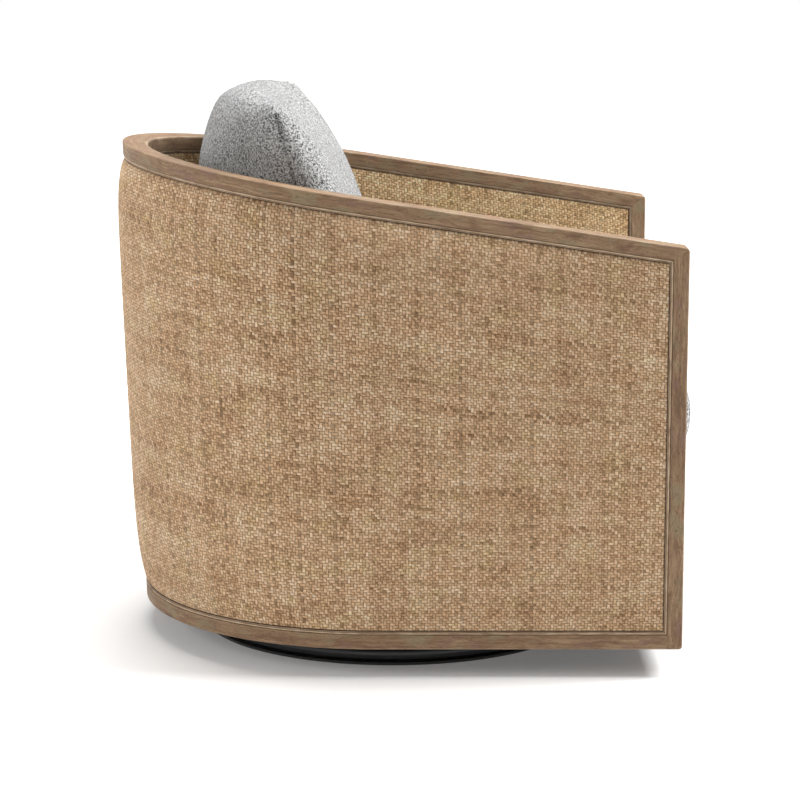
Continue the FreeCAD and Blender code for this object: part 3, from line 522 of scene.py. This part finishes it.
def plywood(name):
    """Pale board with long flat grain."""
    net = Net(name, roughness=0.7, specular=0.3)
    at = net.place()
    flat = net.noise(net.scaled(at, 0.02, 0.004, 0.12), detail=5.0, distortion=0.8)
    fine = net.noise(net.scaled(at, 0.9, 0.05, 0.9), detail=3.0)
    colour = net.ramp(net.weighted((flat, 0.7), (fine, 0.3)), (0.3, (0.42, 0.30, 0.18)),
                      (0.5, (0.58, 0.44, 0.28)), (0.7, (0.68, 0.54, 0.36)))
    return net.finish(colour, net.bump(fine, 0.0002, 0.5))


def frame_timber(name):
    """Plain sawn hardwood of the hidden frame, with its grain across the chair."""
    net = Net(name, roughness=0.75, specular=0.25)
    at = net.place()
    rings = net.noise(net.scaled(at, 0.006, 0.10, 0.10), detail=4.0, distortion=0.7)
    fine = net.noise(net.scaled(at, 0.05, 1.1, 1.1), detail=3.0)
    colour = net.ramp(net.weighted((rings, 0.65), (fine, 0.35)), (0.3, (0.44, 0.31, 0.18)),
                      (0.5, (0.60, 0.46, 0.29)), (0.7, (0.71, 0.58, 0.39)))
    return net.finish(colour, net.bump(fine, 0.0003, 0.6))


def black_cloth(name):
    """Thin non-woven cloth with a pressed dot pattern."""
    net = Net(name, roughness=0.85, specular=0.2)
    at = net.place()
    dots = net.cells(at, scale=0.5)
    felt = net.noise(at, scale=0.6, detail=4.0)
    colour = net.ramp(felt, (0.3, (0.016, 0.016, 0.017)), (0.7, (0.04, 0.04, 0.042)))
    return net.finish(colour, net.bump(net.plus(dots, felt), 0.0003, 0.6))


def deck_cloth(name):
    net = Net(name, roughness=0.9, specular=0.15)
    at = net.place()
    felt = net.noise(at, scale=0.5, detail=4.0)
    tone = net.noise(at, scale=0.02, detail=2.0)
    colour = net.ramp(tone, (0.3, (0.66, 0.65, 0.61)), (0.7, (0.78, 0.77, 0.74)))
    return net.finish(colour, net.bump(felt, 0.0005, 0.7))


# Mesh helpers
def new_object(name, points, faces, smooth=True):
    mesh = bpy.data.meshes.new(name)
    mesh.from_pydata([tuple(p) for p in points], [], faces)
    mesh.polygons.foreach_set("use_smooth", [smooth] * len(mesh.polygons))
    mesh.update()
    made = bpy.data.objects.new(name, mesh)
    bpy.context.scene.collection.objects.link(made)
    return made


def wear(obj, material):
    obj.data.materials.clear()
    obj.data.materials.append(material)


def fit_to_chair(obj, material, slot, *replaced):
    """The piece rides the chair, in place of the named nodes."""
    wear(obj, material)
    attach(obj, "chair")
    if replaced:
        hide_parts(*replaced)


def lay_uv(obj, name, places):
    """UV map with one place for each vertex."""
    layer = obj.data.uv_layers.new(name=name)
    corners = np.empty(len(obj.data.loops), np.int32)
    obj.data.loops.foreach_get("vertex_index", corners)
    layer.data.foreach_set("uv", np.array(places, np.float32)[corners].ravel())


def tube_along(name, centres, radius, sides):
    """Round tube through these points, with its own caps."""
    last = len(centres) - 1
    tangents = [(centres[min(k + 1, last)] - centres[max(k - 1, 0)]).normalized() for k in range(last + 1)]
    normal = tangents[0].orthogonal().normalized()
    verts = []
    for centre, tangent in zip(centres, tangents):
        normal = (normal - tangent * normal.dot(tangent)).normalized()
        other = tangent.cross(normal)
        for s in range(sides):
            a = 2 * math.pi * s / sides
            verts.append(centre + radius * (math.cos(a) * normal + math.sin(a) * other))
    faces = []
    for k in range(last):
        for s in range(sides):
            here = k * sides
            ahead = here + sides
            beside = (s + 1) % sides
            faces.append((here + s, here + beside, ahead + beside, ahead + s))
    faces.append(tuple(reversed(range(sides))))
    faces.append(tuple(last * sides + s for s in range(sides)))
    return new_object(name, verts, faces)


def back_centre_at(z):
    return BACK_CENTRE + BACK_LEAN * (z - FLOOR_GAP)


def top_at(y, drop=0.0):
    return ARM_TOP + ARM_RISE * (y - FRONT) - drop


# Woven panels
def crown_at(share, height):
    above = 1 - math.exp(-share * height / CROWN_REACH_LOW)
    below = 1 - math.exp(-(1 - share) * height / CROWN_REACH_TOP)
    return CROWN * above * below


def panel_point(along, share, edge_x, crown, bottom, front, drop):
    """Point of a woven panel. Along runs from the right arm's front round the back to the left arm's."""
    slope = share * ARM_RISE
    level = bottom + share * (top_at(0, drop) - bottom)
    arm = back_centre_at(level) - front
    radius = edge_x + crown
    half = arm + math.pi * edge_x / 2
    side = 1.0
    t = along * 2 * half
    if t < half:
        side = -1.0
    else:
        t = 2 * half - t
    if t < arm:
        share_along = t / arm
        y = front + t
        bow = crown * (1 - (1 - share_along) ** 2)
        return side * (edge_x + bow), y, level + slope * y, side, 0.0
    angle = (t - arm) / edge_x
    y = (back_centre_at(level) + radius * math.sin(angle)) / (1 - BACK_LEAN * slope)
    return side * radius * math.cos(angle), y, level + slope * y, side * math.cos(angle), math.sin(angle)


def woven_panel(name, replaced, edge_x, bottom, crowned, facing, material):
    """Sheet of cane strands with real relief, two faces to a strand each way."""
    front = FRONT + POST + BEAD
    drop = TOP_RAIL + BEAD
    height = top_at(back_centre_at(ARM_TOP), drop) - bottom
    length = 2 * (back_centre_at(WALL_MIDDLE) - front) + math.pi * edge_x
    columns = int(round(length / STRAND_ALONG))
    rows = int(round(height / STRAND_UP))
    widths = rng.uniform(0.82, 1.18, columns)
    edges = np.concatenate([[0.0], np.cumsum(widths)]) / widths.sum()
    heights = rng.uniform(0.85, 1.15, rows)
    levels = np.concatenate([[0.0], np.cumsum(heights)]) / heights.sum()
    points = []
    uvs = []
    for j in range(2 * rows + 1):
        share = levels[j // 2] if j % 2 == 0 else (levels[j // 2] + levels[j // 2 + 1]) / 2
        crown = crown_at(share, height) if crowned else 0.0
        for i in range(2 * columns + 1):
            along = edges[i // 2] if i % 2 == 0 else (edges[i // 2] + edges[i // 2 + 1]) / 2
            x, y, z, nx, ny = panel_point(along, share, edge_x, crown, bottom, front, drop)
            on_column = i % 2 == 1
            on_row = j % 2 == 1
            column, row = i // 2, j // 2
            if on_column and on_row:
                lift = 1.0
            elif on_row:
                lift = 0.8 if (column - row) % 4 >= 2 and (column - 1 - row) % 4 >= 2 else -0.9
            elif on_column:
                lift = 0.8 if (column - row) % 4 < 2 and (column - row + 1) % 4 < 2 else -0.9
            else:
                lift = -1.0
            inset = min(share * height, (1 - share) * height, along * length, (1 - along) * length)
            lift = lift * RELIEF * min(1.0, inset / RELIEF_FADE)
            tucked = TUCK * max(0.0, 1.0 - inset / TUCK_REACH) ** 2
            depth = facing * (lift - tucked)
            points.append(((x + nx * depth) * MM, (y + ny * depth) * MM, z * MM))
            uvs.append((i / 2, j / 2))
    width = 2 * columns + 1
    faces = []
    for j in range(2 * rows):
        for i in range(2 * columns):
            a = j * width + i
            quad = (a, a + width, a + width + 1, a + 1)
            faces.append(quad if facing > 0 else tuple(reversed(quad)))
    made = new_object(name, points, faces)
    lay_uv(made, "strands", uvs)
    fit_to_chair(made, material, "cane", replaced)


def bead_frame(name, replaced, edge_x, bottom, facing, material):
    """Moulded strip round a woven panel, swept round its border with mitred corners."""
    round_wall = 200
    up_post = 16
    loop = [(k / round_wall, 0.0) for k in range(round_wall)]
    loop += [(1.0, k / up_post) for k in range(up_post)]
    loop += [(1.0 - k / round_wall, 1.0) for k in range(round_wall)]
    loop += [(0.0, 1.0 - k / up_post) for k in range(up_post)]
    points = []
    places = []
    travel = 0.0
    before = None
    for along, share in loop:
        rail = panel_point(along, share, edge_x, 0.0, bottom, FRONT + POST, TOP_RAIL)
        weave = panel_point(along, share, edge_x, 0.0, bottom + BEAD, FRONT + POST + BEAD, TOP_RAIL + BEAD)
        if before is not None:
            travel += math.dist(before, rail[:3])
        before = rail[:3]
        for across, depth in BEAD_PROFILE:
            back = -facing * depth
            x, y, z, nx, ny = [a + (b - a) * across for a, b in zip(rail, weave)]
            points.append(((x + nx * back) * MM, (y + ny * back) * MM, z * MM))
            places.append((travel, across))
    size = len(BEAD_PROFILE)
    faces = []
    for k in range(len(loop)):
        ahead = (k + 1) % len(loop)
        for m in range(size):
            n = (m + 1) % size
            quad = (k * size + m, k * size + n, ahead * size + n, ahead * size + m)
            faces.append(quad if facing > 0 else tuple(reversed(quad)))
    made = new_object(name, points, faces, smooth=False)
    lay_uv(made, "profile", places)
    fit_to_chair(made, material, "oak_bead", replaced)


# Cushions
def copy_node(name, node):
    """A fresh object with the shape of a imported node."""
    mesh = cad_nodes[node].data.copy()
    mesh.materials.clear()
    made = bpy.data.objects.new(name, mesh)
    bpy.context.scene.collection.objects.link(made)
    return made


def apply_modifiers(obj):
    graph = bpy.context.evaluated_depsgraph_get()
    mesh = bpy.data.meshes.new_from_object(obj.evaluated_get(graph))
    obj.modifiers.clear()
    old = obj.data
    obj.data = mesh
    bpy.data.meshes.remove(old)
    obj.data.polygons.foreach_set("use_smooth", [True] * len(obj.data.polygons))


def remesh(obj, voxel):
    step = obj.modifiers.new("remesh", "REMESH")
    step.mode = "VOXEL"
    step.voxel_size = voxel
    apply_modifiers(obj)


def vertex_values(obj, key):
    flat = np.empty(len(obj.data.vertices) * 3, np.float32)
    obj.data.vertices.foreach_get(key, flat)
    return flat.reshape(-1, 3).astype(float)


def vertex_array(obj):
    return vertex_values(obj, "co")


def vertex_normals(obj):
    return vertex_values(obj, "normal")


def set_vertices(obj, places):
    obj.data.vertices.foreach_set("co", places.astype(np.float32).ravel())
    obj.data.update()


def smooth_share(value, low, high):
    t = np.clip((value - low) / (high - low), 0.0, 1.0)
    return t * t * (3 - 2 * t)


def distance_to(points, line):
    """Distance of each point to the nearest point of the line."""
    tree = KDTree(len(line))
    for index, spot in enumerate(line):
        tree.insert(spot, index)
    tree.balance()
    return np.array([tree.find(point)[2] for point in points])


def blow_up(obj, pinned):
    """Cloth simulation with air pressure in the closed mesh. The pinned share of a point holds it."""
    frames = 20
    group = obj.vertex_groups.new(name="seams")
    for index in np.nonzero(pinned > 0.01)[0]:
        group.add([int(index)], float(pinned[index]), "REPLACE")
    cloth = obj.modifiers.new("cloth", "CLOTH")
    cloth.settings.quality = 3
    cloth.settings.mass = 0.02
    cloth.settings.tension_stiffness = 5.0
    cloth.settings.compression_stiffness = 5.0
    cloth.settings.shear_stiffness = 2.0
    cloth.settings.bending_stiffness = 0.1
    cloth.settings.use_pressure = True
    cloth.settings.uniform_pressure_force = 60.0
    cloth.settings.effector_weights.gravity = 0.0
    cloth.settings.vertex_group_mass = "seams"
    cloth.point_cache.frame_start = 1
    cloth.point_cache.frame_end = frames
    for step in range(1, frames + 1):
        bpy.context.scene.frame_set(step)
    apply_modifiers(obj)
    obj.vertex_groups.clear()
    bpy.context.scene.frame_set(1)


def inflate(obj, pinned, shrink, cap):
    """Blows the mesh up and keeps each point's rise between LEAST_RISE and all of its cap.

    The simulation swells it unevenly, so most points end at one of the two bounds.
    """
    before = vertex_array(obj)
    normals = vertex_normals(obj)
    set_vertices(obj, before - normals * (shrink * (1 - pinned))[:, None])
    blow_up(obj, pinned)
    rise = ((vertex_array(obj) - before) * normals).sum(axis=1)
    held = np.clip(rise, LEAST_RISE * cap, cap)
    set_vertices(obj, before + normals * held[:, None])


def relax(obj, rounds):
    step = obj.modifiers.new("relax", "SMOOTH")
    step.factor = 0.5
    step.iterations = rounds
    apply_modifiers(obj)


def subdivide(obj):
    step = obj.modifiers.new("finer", "SUBSURF")
    step.levels = 1
    step.render_levels = 1
    apply_modifiers(obj)


def keep_in_shell(points, radius):
    """Pulls points back inside the U-shaped wall, in metres."""
    centre = (BACK_CENTRE + BACK_LEAN * (points[:, 2] / MM - FLOOR_GAP)) * MM
    past = np.maximum(points[:, 1] - centre, 0.0)
    out = np.hypot(points[:, 0], past)
    share = np.minimum(1.0, radius * MM / np.maximum(out, 1e-9))
    points[:, 0] *= share
    points[:, 1] = np.where(past > 0, centre + past * share, points[:, 1])
    return points


def sew(obj, line, width, depth, ridge):
    """Presses a seam into the surface along the line, with a low ridge beside it."""
    points = vertex_array(obj)
    away = distance_to(points, line)
    dent = -depth * np.exp(-(away / width) ** 2)
    dent += ridge * np.exp(-((away - 2.2 * width) / width) ** 2)
    set_vertices(obj, points + vertex_normals(obj) * dent[:, None])


def wrinkle(obj, size, height, seed):
    """Low uneven swells of the stuffing."""
    points = vertex_array(obj)
    shift = Vector((seed, seed * 0.7, 0))
    lumps = np.array([wobble.noise(Vector(point) / size + shift) for point in points])
    set_vertices(obj, points + vertex_normals(obj) * (lumps * height)[:, None])


def pillow_seam(count):
    """The pillow's seam: up the right side, over the top, down the left side and back underneath."""
    lean = math.radians(PILLOW_LEAN)
    corners = [(-1.0, -1.0), (-1.0, 1.0), (1.0, 1.0), (1.0, -1.0), (-1.0, -1.0)]
    line = []
    for k in range(count):
        side, along = divmod(4 * k / count, 1)
        start = corners[int(side)]
        end = corners[int(side) + 1]
        share = start[0] + (end[0] - start[0]) * along
        climb = start[1] + (end[1] - start[1]) * along
        reach = (PILLOW_HALF_HEIGHT - PILLOW_CORNER_DROP / 2) * climb
        y = BACK_CENTRE + PILLOW_PLACE - PILLOW_WRAP + reach * math.sin(lean)
        y += SEAM_SETBACK * (1 - climb) - SEAM_BOW * (1 - share * share)
        z = SEAT_TOP + PILLOW_ABOVE_SEAT - PILLOW_CORNER_DROP / 2 + reach * math.cos(lean)
        line.append(Vector((PILLOW_HALF * share * MM, y * MM, z * MM)))
    return line


def surface_tree(obj):
    return BVHTree.FromPolygons([v.co for v in obj.data.vertices], [p.vertices for p in obj.data.polygons])


def nearest_on(obj, line):
    """The line's points moved to the nearest places on the surface."""
    tree = surface_tree(obj)
    return [tree.find_nearest(point)[0] for point in line]


def snap(obj, line):
    """The line's points on the surface: straight up or down inside its plan, else the nearest place."""
    tree = surface_tree(obj)
    middle = sum((v.co.z for v in obj.data.vertices)) / len(obj.data.vertices)
    inside = PILLOW_HALF * MM * 0.97
    found = []
    for point in line:
        way = 1 if point.z > middle else -1
        hit = None
        if abs(point.x) < inside:
            hit = tree.ray_cast(Vector((point.x, point.y, middle + way)), Vector((0, 0, -way)))[0]
        found.append(hit or tree.find_nearest(point)[0])
    return found


def make_pillow(yarn):
    """Loose back pillow, full towards the front and the top and flat where it rests on the seat."""
    pillow = copy_node("back_cushion", "back_cushion_fill")
    remesh(pillow, 0.007)
    points = vertex_array(pillow)
    normals = vertex_normals(pillow)
    away = distance_to(points, snap(pillow, pillow_seam(600)))
    at_seam = 1 - smooth_share(away, 0.006, 0.05)
    height = (points[:, 2] / MM - SEAT_TOP) / (2 * PILLOW_HALF_HEIGHT)
    forward = smooth_share(-normals[:, 1], -0.2, 0.5)
    cap = 0.0035 + 0.0125 * forward * (1 - at_seam) * smooth_share(height, 0.1, 0.5)
    cap += 0.004 * smooth_share(normals[:, 2], 0.2, 0.8)
    inflate(pillow, pinned=at_seam, shrink=0.003, cap=cap)
    relax(pillow, 6)
    wrinkle(pillow, size=0.09, height=0.0022, seed=3.0)
    subdivide(pillow)
    points = vertex_array(pillow)
    points[:, 2] += 0.0035 * smooth_share(points[:, 2], 0.62, 0.80)
    set_vertices(pillow, points)
    sew(pillow, snap(pillow, pillow_seam(900)), width=0.0022, depth=0.003, ridge=0.001)
    points = keep_in_shell(vertex_array(pillow), RAIL_INNER - CUSHION_PLAY)
    points[:, 2] = np.maximum(points[:, 2], (SEAT_TOP + 0.4) * MM)
    set_vertices(pillow, points)
    fit_to_chair(pillow, yarn, "boucle", "back_cushion_cover", "back_cushion_fill")


def seat_outline(z, inset):
    """Closed line round the seat cushion at this height, in metres."""
    half = RAIL_INNER - CUSHION_PLAY - inset
    front = FRONT - SEAT_OVERHANG + inset
    centre = back_centre_at(z)
    r = SEAT_CORNER
    steps_to_arc = 40
    corners = [(half - r, front + r, -90, 0), (0.0, centre, 0, 180), (-half + r, front + r, 180, 270)]
    rough = []
    for x, y, a0, a1 in corners:
        radius = half if x == 0.0 else r
        for k in range(steps_to_arc + 1):
            a = math.radians(a0 + (a1 - a0) * k / steps_to_arc)
            rough.append(Vector((x + radius * math.cos(a), y + radius * math.sin(a), z)) * MM)
    line = []
    for k, here in enumerate(rough):
        ahead = rough[(k + 1) % len(rough)]
        steps = max(1, int((ahead - here).length / 0.006))
        line += [here.lerp(ahead, m / steps) for m in range(steps)]
    return line


def make_seat(yarn):
    """Thick seat cushion that swells over the front rail, with a seam round each edge."""
    seat = copy_node("seat_cushion", "seat_cushion_foam")
    remesh(seat, 0.009)
    points = vertex_array(seat)
    normals = vertex_normals(seat)
    upper = seat_outline(SEAT_SEAM_TOP, 10.0)
    lower = seat_outline(SEAT_SEAM_LOW, 8.0)
    away = np.minimum(distance_to(points, upper), distance_to(points, lower))
    at_seam = 1 - smooth_share(away, 0.004, 0.03)
    ahead = smooth_share(-normals[:, 1], 0.2, 0.8)
    above = smooth_share(normals[:, 2], 0.3, 0.9)
    cap = 0.0032 + 0.006 * ahead * (1 - at_seam) + 0.004 * above
    inflate(seat, pinned=at_seam, shrink=0.003, cap=cap)
    relax(seat, 4)
    wrinkle(seat, size=0.11, height=0.0015, seed=8.0)
    subdivide(seat)
    for line in (upper, lower):
        sew(seat, nearest_on(seat, line), width=0.003, depth=0.0028, ridge=0.0012)
    points = keep_in_shell(vertex_array(seat), RAIL_INNER - CUSHION_PLAY)
    under_pillow = np.hypot(points[:, 0], points[:, 1] - PRINT_PLACE * MM) < PRINT_REACH * MM
    points[:, 2] = np.where(under_pillow, np.minimum(points[:, 2], SEAT_TOP * MM), points[:, 2])
    points[:, 2] = np.clip(points[:, 2], (SEAT_BOTTOM + 0.2) * MM, (SEAT_TOP + 2.0) * MM)
    side = (RAIL_INNER - CUSHION_PLAY) * MM
    points[:, 0] = np.clip(points[:, 0], -side, side)
    set_vertices(seat, points)
    fit_to_chair(seat, yarn, "boucle", "seat_cushion_cover", "seat_cushion_foam")


def make_deck(cloth):
    deck = copy_node("seat_deck_pad", "seat_deck")
    remesh(deck, 0.007)
    relax(deck, 3)
    fit_to_chair(deck, cloth, "padding", "seat_deck")


def make_apron(yarn):
    """Thin padded cover across the front, drawn over its board."""
    low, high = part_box("apron_cover")
    columns = 128
    rows = 46
    points = []
    for outer_side in (False, True):
        for j in range(rows + 1):
            for i in range(columns + 1):
                u = 2 * i / columns - 1
                v = 2 * j / rows - 1
                x = low[0] + (high[0] - low[0]) * (u + 1) / 2
                z = low[2] + (high[2] - low[2]) * (v + 1) / 2
                puff = (1 - abs(u) ** 30) * (1 - abs(v) ** 12)
                lumps = wobble.noise(Vector((x * 7, z * 9, 5.0)))
                y = high[1]
                if outer_side:
                    y -= 0.0005 + puff ** 0.5 * (0.0055 + 0.0009 * lumps)
                points.append((x, y, z))
    width = columns + 1
    back = (rows + 1) * width
    faces = []
    for j in range(rows):
        for i in range(columns):
            a = j * width + i
            faces.append((a, a + width, a + width + 1, a + 1))
            faces.append((back + a, back + a + 1, back + a + width + 1, back + a + width))
    rim = list(range(columns))
    rim += [j * width + columns for j in range(rows)]
    rim += [rows * width + i for i in range(columns, 0, -1)]
    rim += [j * width for j in range(rows, 0, -1)]
    for k, a in enumerate(rim):
        b = rim[(k + 1) % len(rim)]
        faces.append((a, b, back + b, back + a))
    apron = new_object("front_apron", points, faces)
    fit_to_chair(apron, yarn, "boucle", "apron_cover")


def make_staples(steel, half, front, centre):
    """Staples along the border of the cloth under the seat."""
    reach = half - STAPLE_INSET
    spots = [(x, front + STAPLE_INSET, 1, 0) for x in range(-300, 301, STAPLE_PITCH)]
    spots += [(side * reach, y, 0, 1) for side in (-1, 1) for y in range(-360, 20, STAPLE_PITCH)]
    round_back = 12
    for k in range(1, round_back):
        a = math.pi * k / round_back
        spots.append((reach * math.cos(a), centre + reach * math.sin(a), -math.sin(a), math.cos(a)))
    corners = [(-1, -1), (1, -1), (1, 1), (-1, 1)]
    box = ((3, 2, 1, 0), (4, 5, 6, 7), (0, 1, 5, 4), (1, 2, 6, 5), (2, 3, 7, 6), (3, 0, 4, 7))
    verts = []
    faces = []
    for x, y, dx, dy in spots:
        base = len(verts)
        for z in (DUST_COVER_TOP - 1.5, DUST_COVER_TOP - 0.5):
            for along, across in corners:
                off = STAPLE_HALF * along
                beside = STAPLE_HALF_WIRE * across
                verts.append(((x + off * dx - beside * dy) * MM, (y + off * dy + beside * dx) * MM, z * MM))
        faces += [tuple(base + n for n in face) for face in box]
    staples = new_object("dust_cover_staples", verts, faces, smooth=False)
    fit_to_chair(staples, steel, "bright_steel")
    return staples


def make_dust_cover(cloth, steel):
    """Black cloth stretched under the seat frame, with its staples."""
    half = SHELL_HALF - DUST_COVER_INSET
    front = FRONT + POST + DUST_COVER_GAP
    centre = back_centre_at(DUST_COVER_TOP)
    rows = 90
    columns = 80
    points = []
    for j in range(rows + 1):
        y = front + (centre + half * 0.9985 - front) * math.sin(math.pi / 2 * j / rows)
        reach = half if y < centre else math.sqrt(max(half * half - (y - centre) ** 2, 1.0))
        for i in range(columns + 1):
            x = (2 * i / columns - 1) * (reach - 0.5)
            sag = 0.0
            if abs(x) < SAG_HALF and SAG_FRONT < y < SAG_BACK:
                sag = SAG * math.sin(math.pi * (y - SAG_FRONT) / (SAG_BACK - SAG_FRONT))
                sag *= math.cos(math.pi * x / (2 * SAG_HALF))
            points.append((x * MM, y * MM, (DUST_COVER_TOP - 0.6 - sag) * MM))
    width = columns + 1
    faces = [(j * width + i, (j + 1) * width + i, (j + 1) * width + i + 1, j * width + i + 1)
             for j in range(rows) for i in range(columns)]
    sheet = new_object("stretched_dust_cover", points, faces)
    fit_to_chair(sheet, cloth, "dust_cloth", "dust_cover")
    staples = make_staples(steel, half, front, centre)


def make_springs(steel):
    """Coil springs of the rocker, between the turntable and the chair."""
    steps = SPRING_TURNS * SPRING_STEPS
    climb = SPRING_HIGH - SPRING_LOW - SPRING_WIRE
    for name, (x, y) in SPRING_PLACES.items():
        centres = []
        for k in range(steps + 1):
            a = 2 * math.pi * k / SPRING_STEPS
            z = SPRING_LOW + SPRING_WIRE / 2 + climb * k / steps
            ring = (SPRING_RADIUS * math.cos(a), SPRING_RADIUS * math.sin(a))
            centres.append(Vector((x + ring[0], y + ring[1], z)) * MM)
        coil = tube_along("coil_" + name, centres, SPRING_WIRE / 2 * MM, sides=10)
        wear(coil, steel)
        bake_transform(coil)
        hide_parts("rocker_spring_" + name)


# Stage
def make_floor():
    """Pale floor that keeps the object's shadow and runs out to white."""
    half = 14.0
    floor = new_object("floor", [(-half, -half, 0), (half, -half, 0), (half, half, 0), (-half, half, 0)],
                       [(0, 1, 2, 3)])
    net = Net("floor", roughness=0.9, specular=0.1)
    path = net.node("ShaderNodeLightPath")
    seen = net.math("MAXIMUM", path.outputs["Is Camera Ray"], path.outputs["Is Glossy Ray"])
    seen = net.math("MAXIMUM", seen, path.outputs["Is Transmission Ray"])
    net.put(net.shader.inputs["Base Color"], (0.9, 0.9, 0.9))
    net.put(net.shader.inputs["Emission Color"], (1.0, 1.0, 1.0))
    x, y = net.split(net.place())[:2]
    out = net.math("SQRT", net.plus(net.times(x, x), net.times(y, y)))
    glow = net.spread(out, 500.0, 1500.0, 0.12, 1.0)
    net.put(net.shader.inputs["Emission Strength"], net.times(seen, glow))
    floor.data.materials.append(net.material)


def make_world():
    """White surroundings that light the object only a little."""
    world = bpy.data.worlds.new("studio")
    bpy.context.scene.world = world
    world.use_nodes = True
    tree = world.node_tree
    tree.nodes.clear()
    end = tree.nodes.new("ShaderNodeOutputWorld")
    backgrounds = []
    for strength in (0.24, 1.0):
        background = tree.nodes.new("ShaderNodeBackground")
        background.inputs["Color"].default_value = (1.0, 1.0, 1.0, 1)
        background.inputs["Strength"].default_value = strength
        backgrounds.append(background)
    path = tree.nodes.new("ShaderNodeLightPath")
    seen = path.outputs["Is Camera Ray"]
    for ray in ("Is Glossy Ray", "Is Transmission Ray"):
        either = tree.nodes.new("ShaderNodeMath")
        either.operation = "MAXIMUM"
        tree.links.new(seen, either.inputs[0])
        tree.links.new(path.outputs[ray], either.inputs[1])
        seen = either.outputs[0]
    mixed = tree.nodes.new("ShaderNodeMixShader")
    tree.links.new(seen, mixed.inputs[0])
    tree.links.new(backgrounds[0].outputs[0], mixed.inputs[1])
    tree.links.new(backgrounds[1].outputs[0], mixed.inputs[2])
    tree.links.new(mixed.outputs[0], end.inputs["Surface"])


def make_lamps():
    lamps = (("key", (-0.2, -2.9, 3.0), 1.4, 185.0), ("top", (0.5, 0.5, 4.0), 1.4, 125.0),
             ("rear", (-1.5, 3.2, 1.8), 1.5, 45.0))
    target = Vector((0, 0, 0.4))
    for name, place, size, power in lamps:
        data = bpy.data.lights.new(name, "AREA")
        data.size = size
        data.energy = power
        aim(name, data, place, target - Vector(place))


make_camera()
materials = {
    "oak_top": oak("weathered_oak_sloping", "wall", slope=ARM_RISE, free_edge=RIM_TOP),
    "oak_low": oak("weathered_oak_level", "wall", free_edge=FLOOR_GAP),
    "oak_post": oak("weathered_oak_upright", "upright", free_edge=FRONT),
    "oak_cross": oak("weathered_oak_across", "across"),
    "oak_bead": bead_oak("moulded_oak"),
    "cane": cane("cane_weave"),
    "inner_cane": cane("inner_cane_weave", tone=1.3, gold=1.04),
    "boucle": looped_yarn("looped_yarn"),
    "black_steel": black_paint("black_paint"),
    "bright_steel": bright_steel("bright_steel"),
    "spring_steel": spring_steel("spring_steel"),
    "plastic": dark_plastic("dark_plastic"),
    "rubber": soft_rubber("soft_rubber"),
    "plywood": plywood("plywood"),
    "frame_timber": frame_timber("frame_timber"),
    "dust_cloth": black_cloth("black_cloth"),
    "padding": deck_cloth("deck_cloth"),
}


def oak_for(name):
    """The oak whose grain and painted edge highlight suit this rail or post."""
    if name.startswith("top_rail"):
        return "oak_top"
    if name.startswith("front_post"):
        return "oak_post"
    if name == "bottom_rail_front":
        return "oak_cross"
    return "oak_low"


def dress_nodes():
    """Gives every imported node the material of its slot, with the grain of the wood along each piece."""
    slots = {part["node"]: part["material_slot"] for part in frame["record"]["subparts"]}
    for name, node in cad_nodes.items():
        key = slots[name]
        if key == "oak":
            key = oak_for(name)
        if name in ("zigzag_springs", "bearing_balls"):
            key = "spring_steel"
        node.data.materials.clear()
        node.data.materials.append(materials[key])


def make_panels():
    """Both beads and both woven panels of the wall."""
    low = FLOOR_GAP + LOW_RAIL
    bead_frame("outer_moulding", "outer_bead", SHELL_HALF, low, 1.0, materials["oak_bead"])
    bead_frame("inner_moulding", "inner_bead", RAIL_INNER, INNER_LOW - BEAD, -1.0, materials["oak_bead"])
    woven_panel("outer_cane", "outer_cane_panel", SHELL_HALF - CANE_RECESS, low + BEAD, True, 1.0,
                materials["cane"])
    woven_panel("inner_cane", "inner_cane_panel", RAIL_INNER + CANE_RECESS, INNER_LOW, False, -1.0,
                materials["inner_cane"])


dress_nodes()
make_panels()
make_pillow(materials["boucle"])
make_seat(materials["boucle"])
make_apron(materials["boucle"])
make_deck(materials["padding"])
make_dust_cover(materials["dust_cloth"], materials["bright_steel"])
make_springs(materials["spring_steel"])
make_floor()
make_world()
make_lamps()
bpy.context.scene.view_settings.view_transform = "Standard"
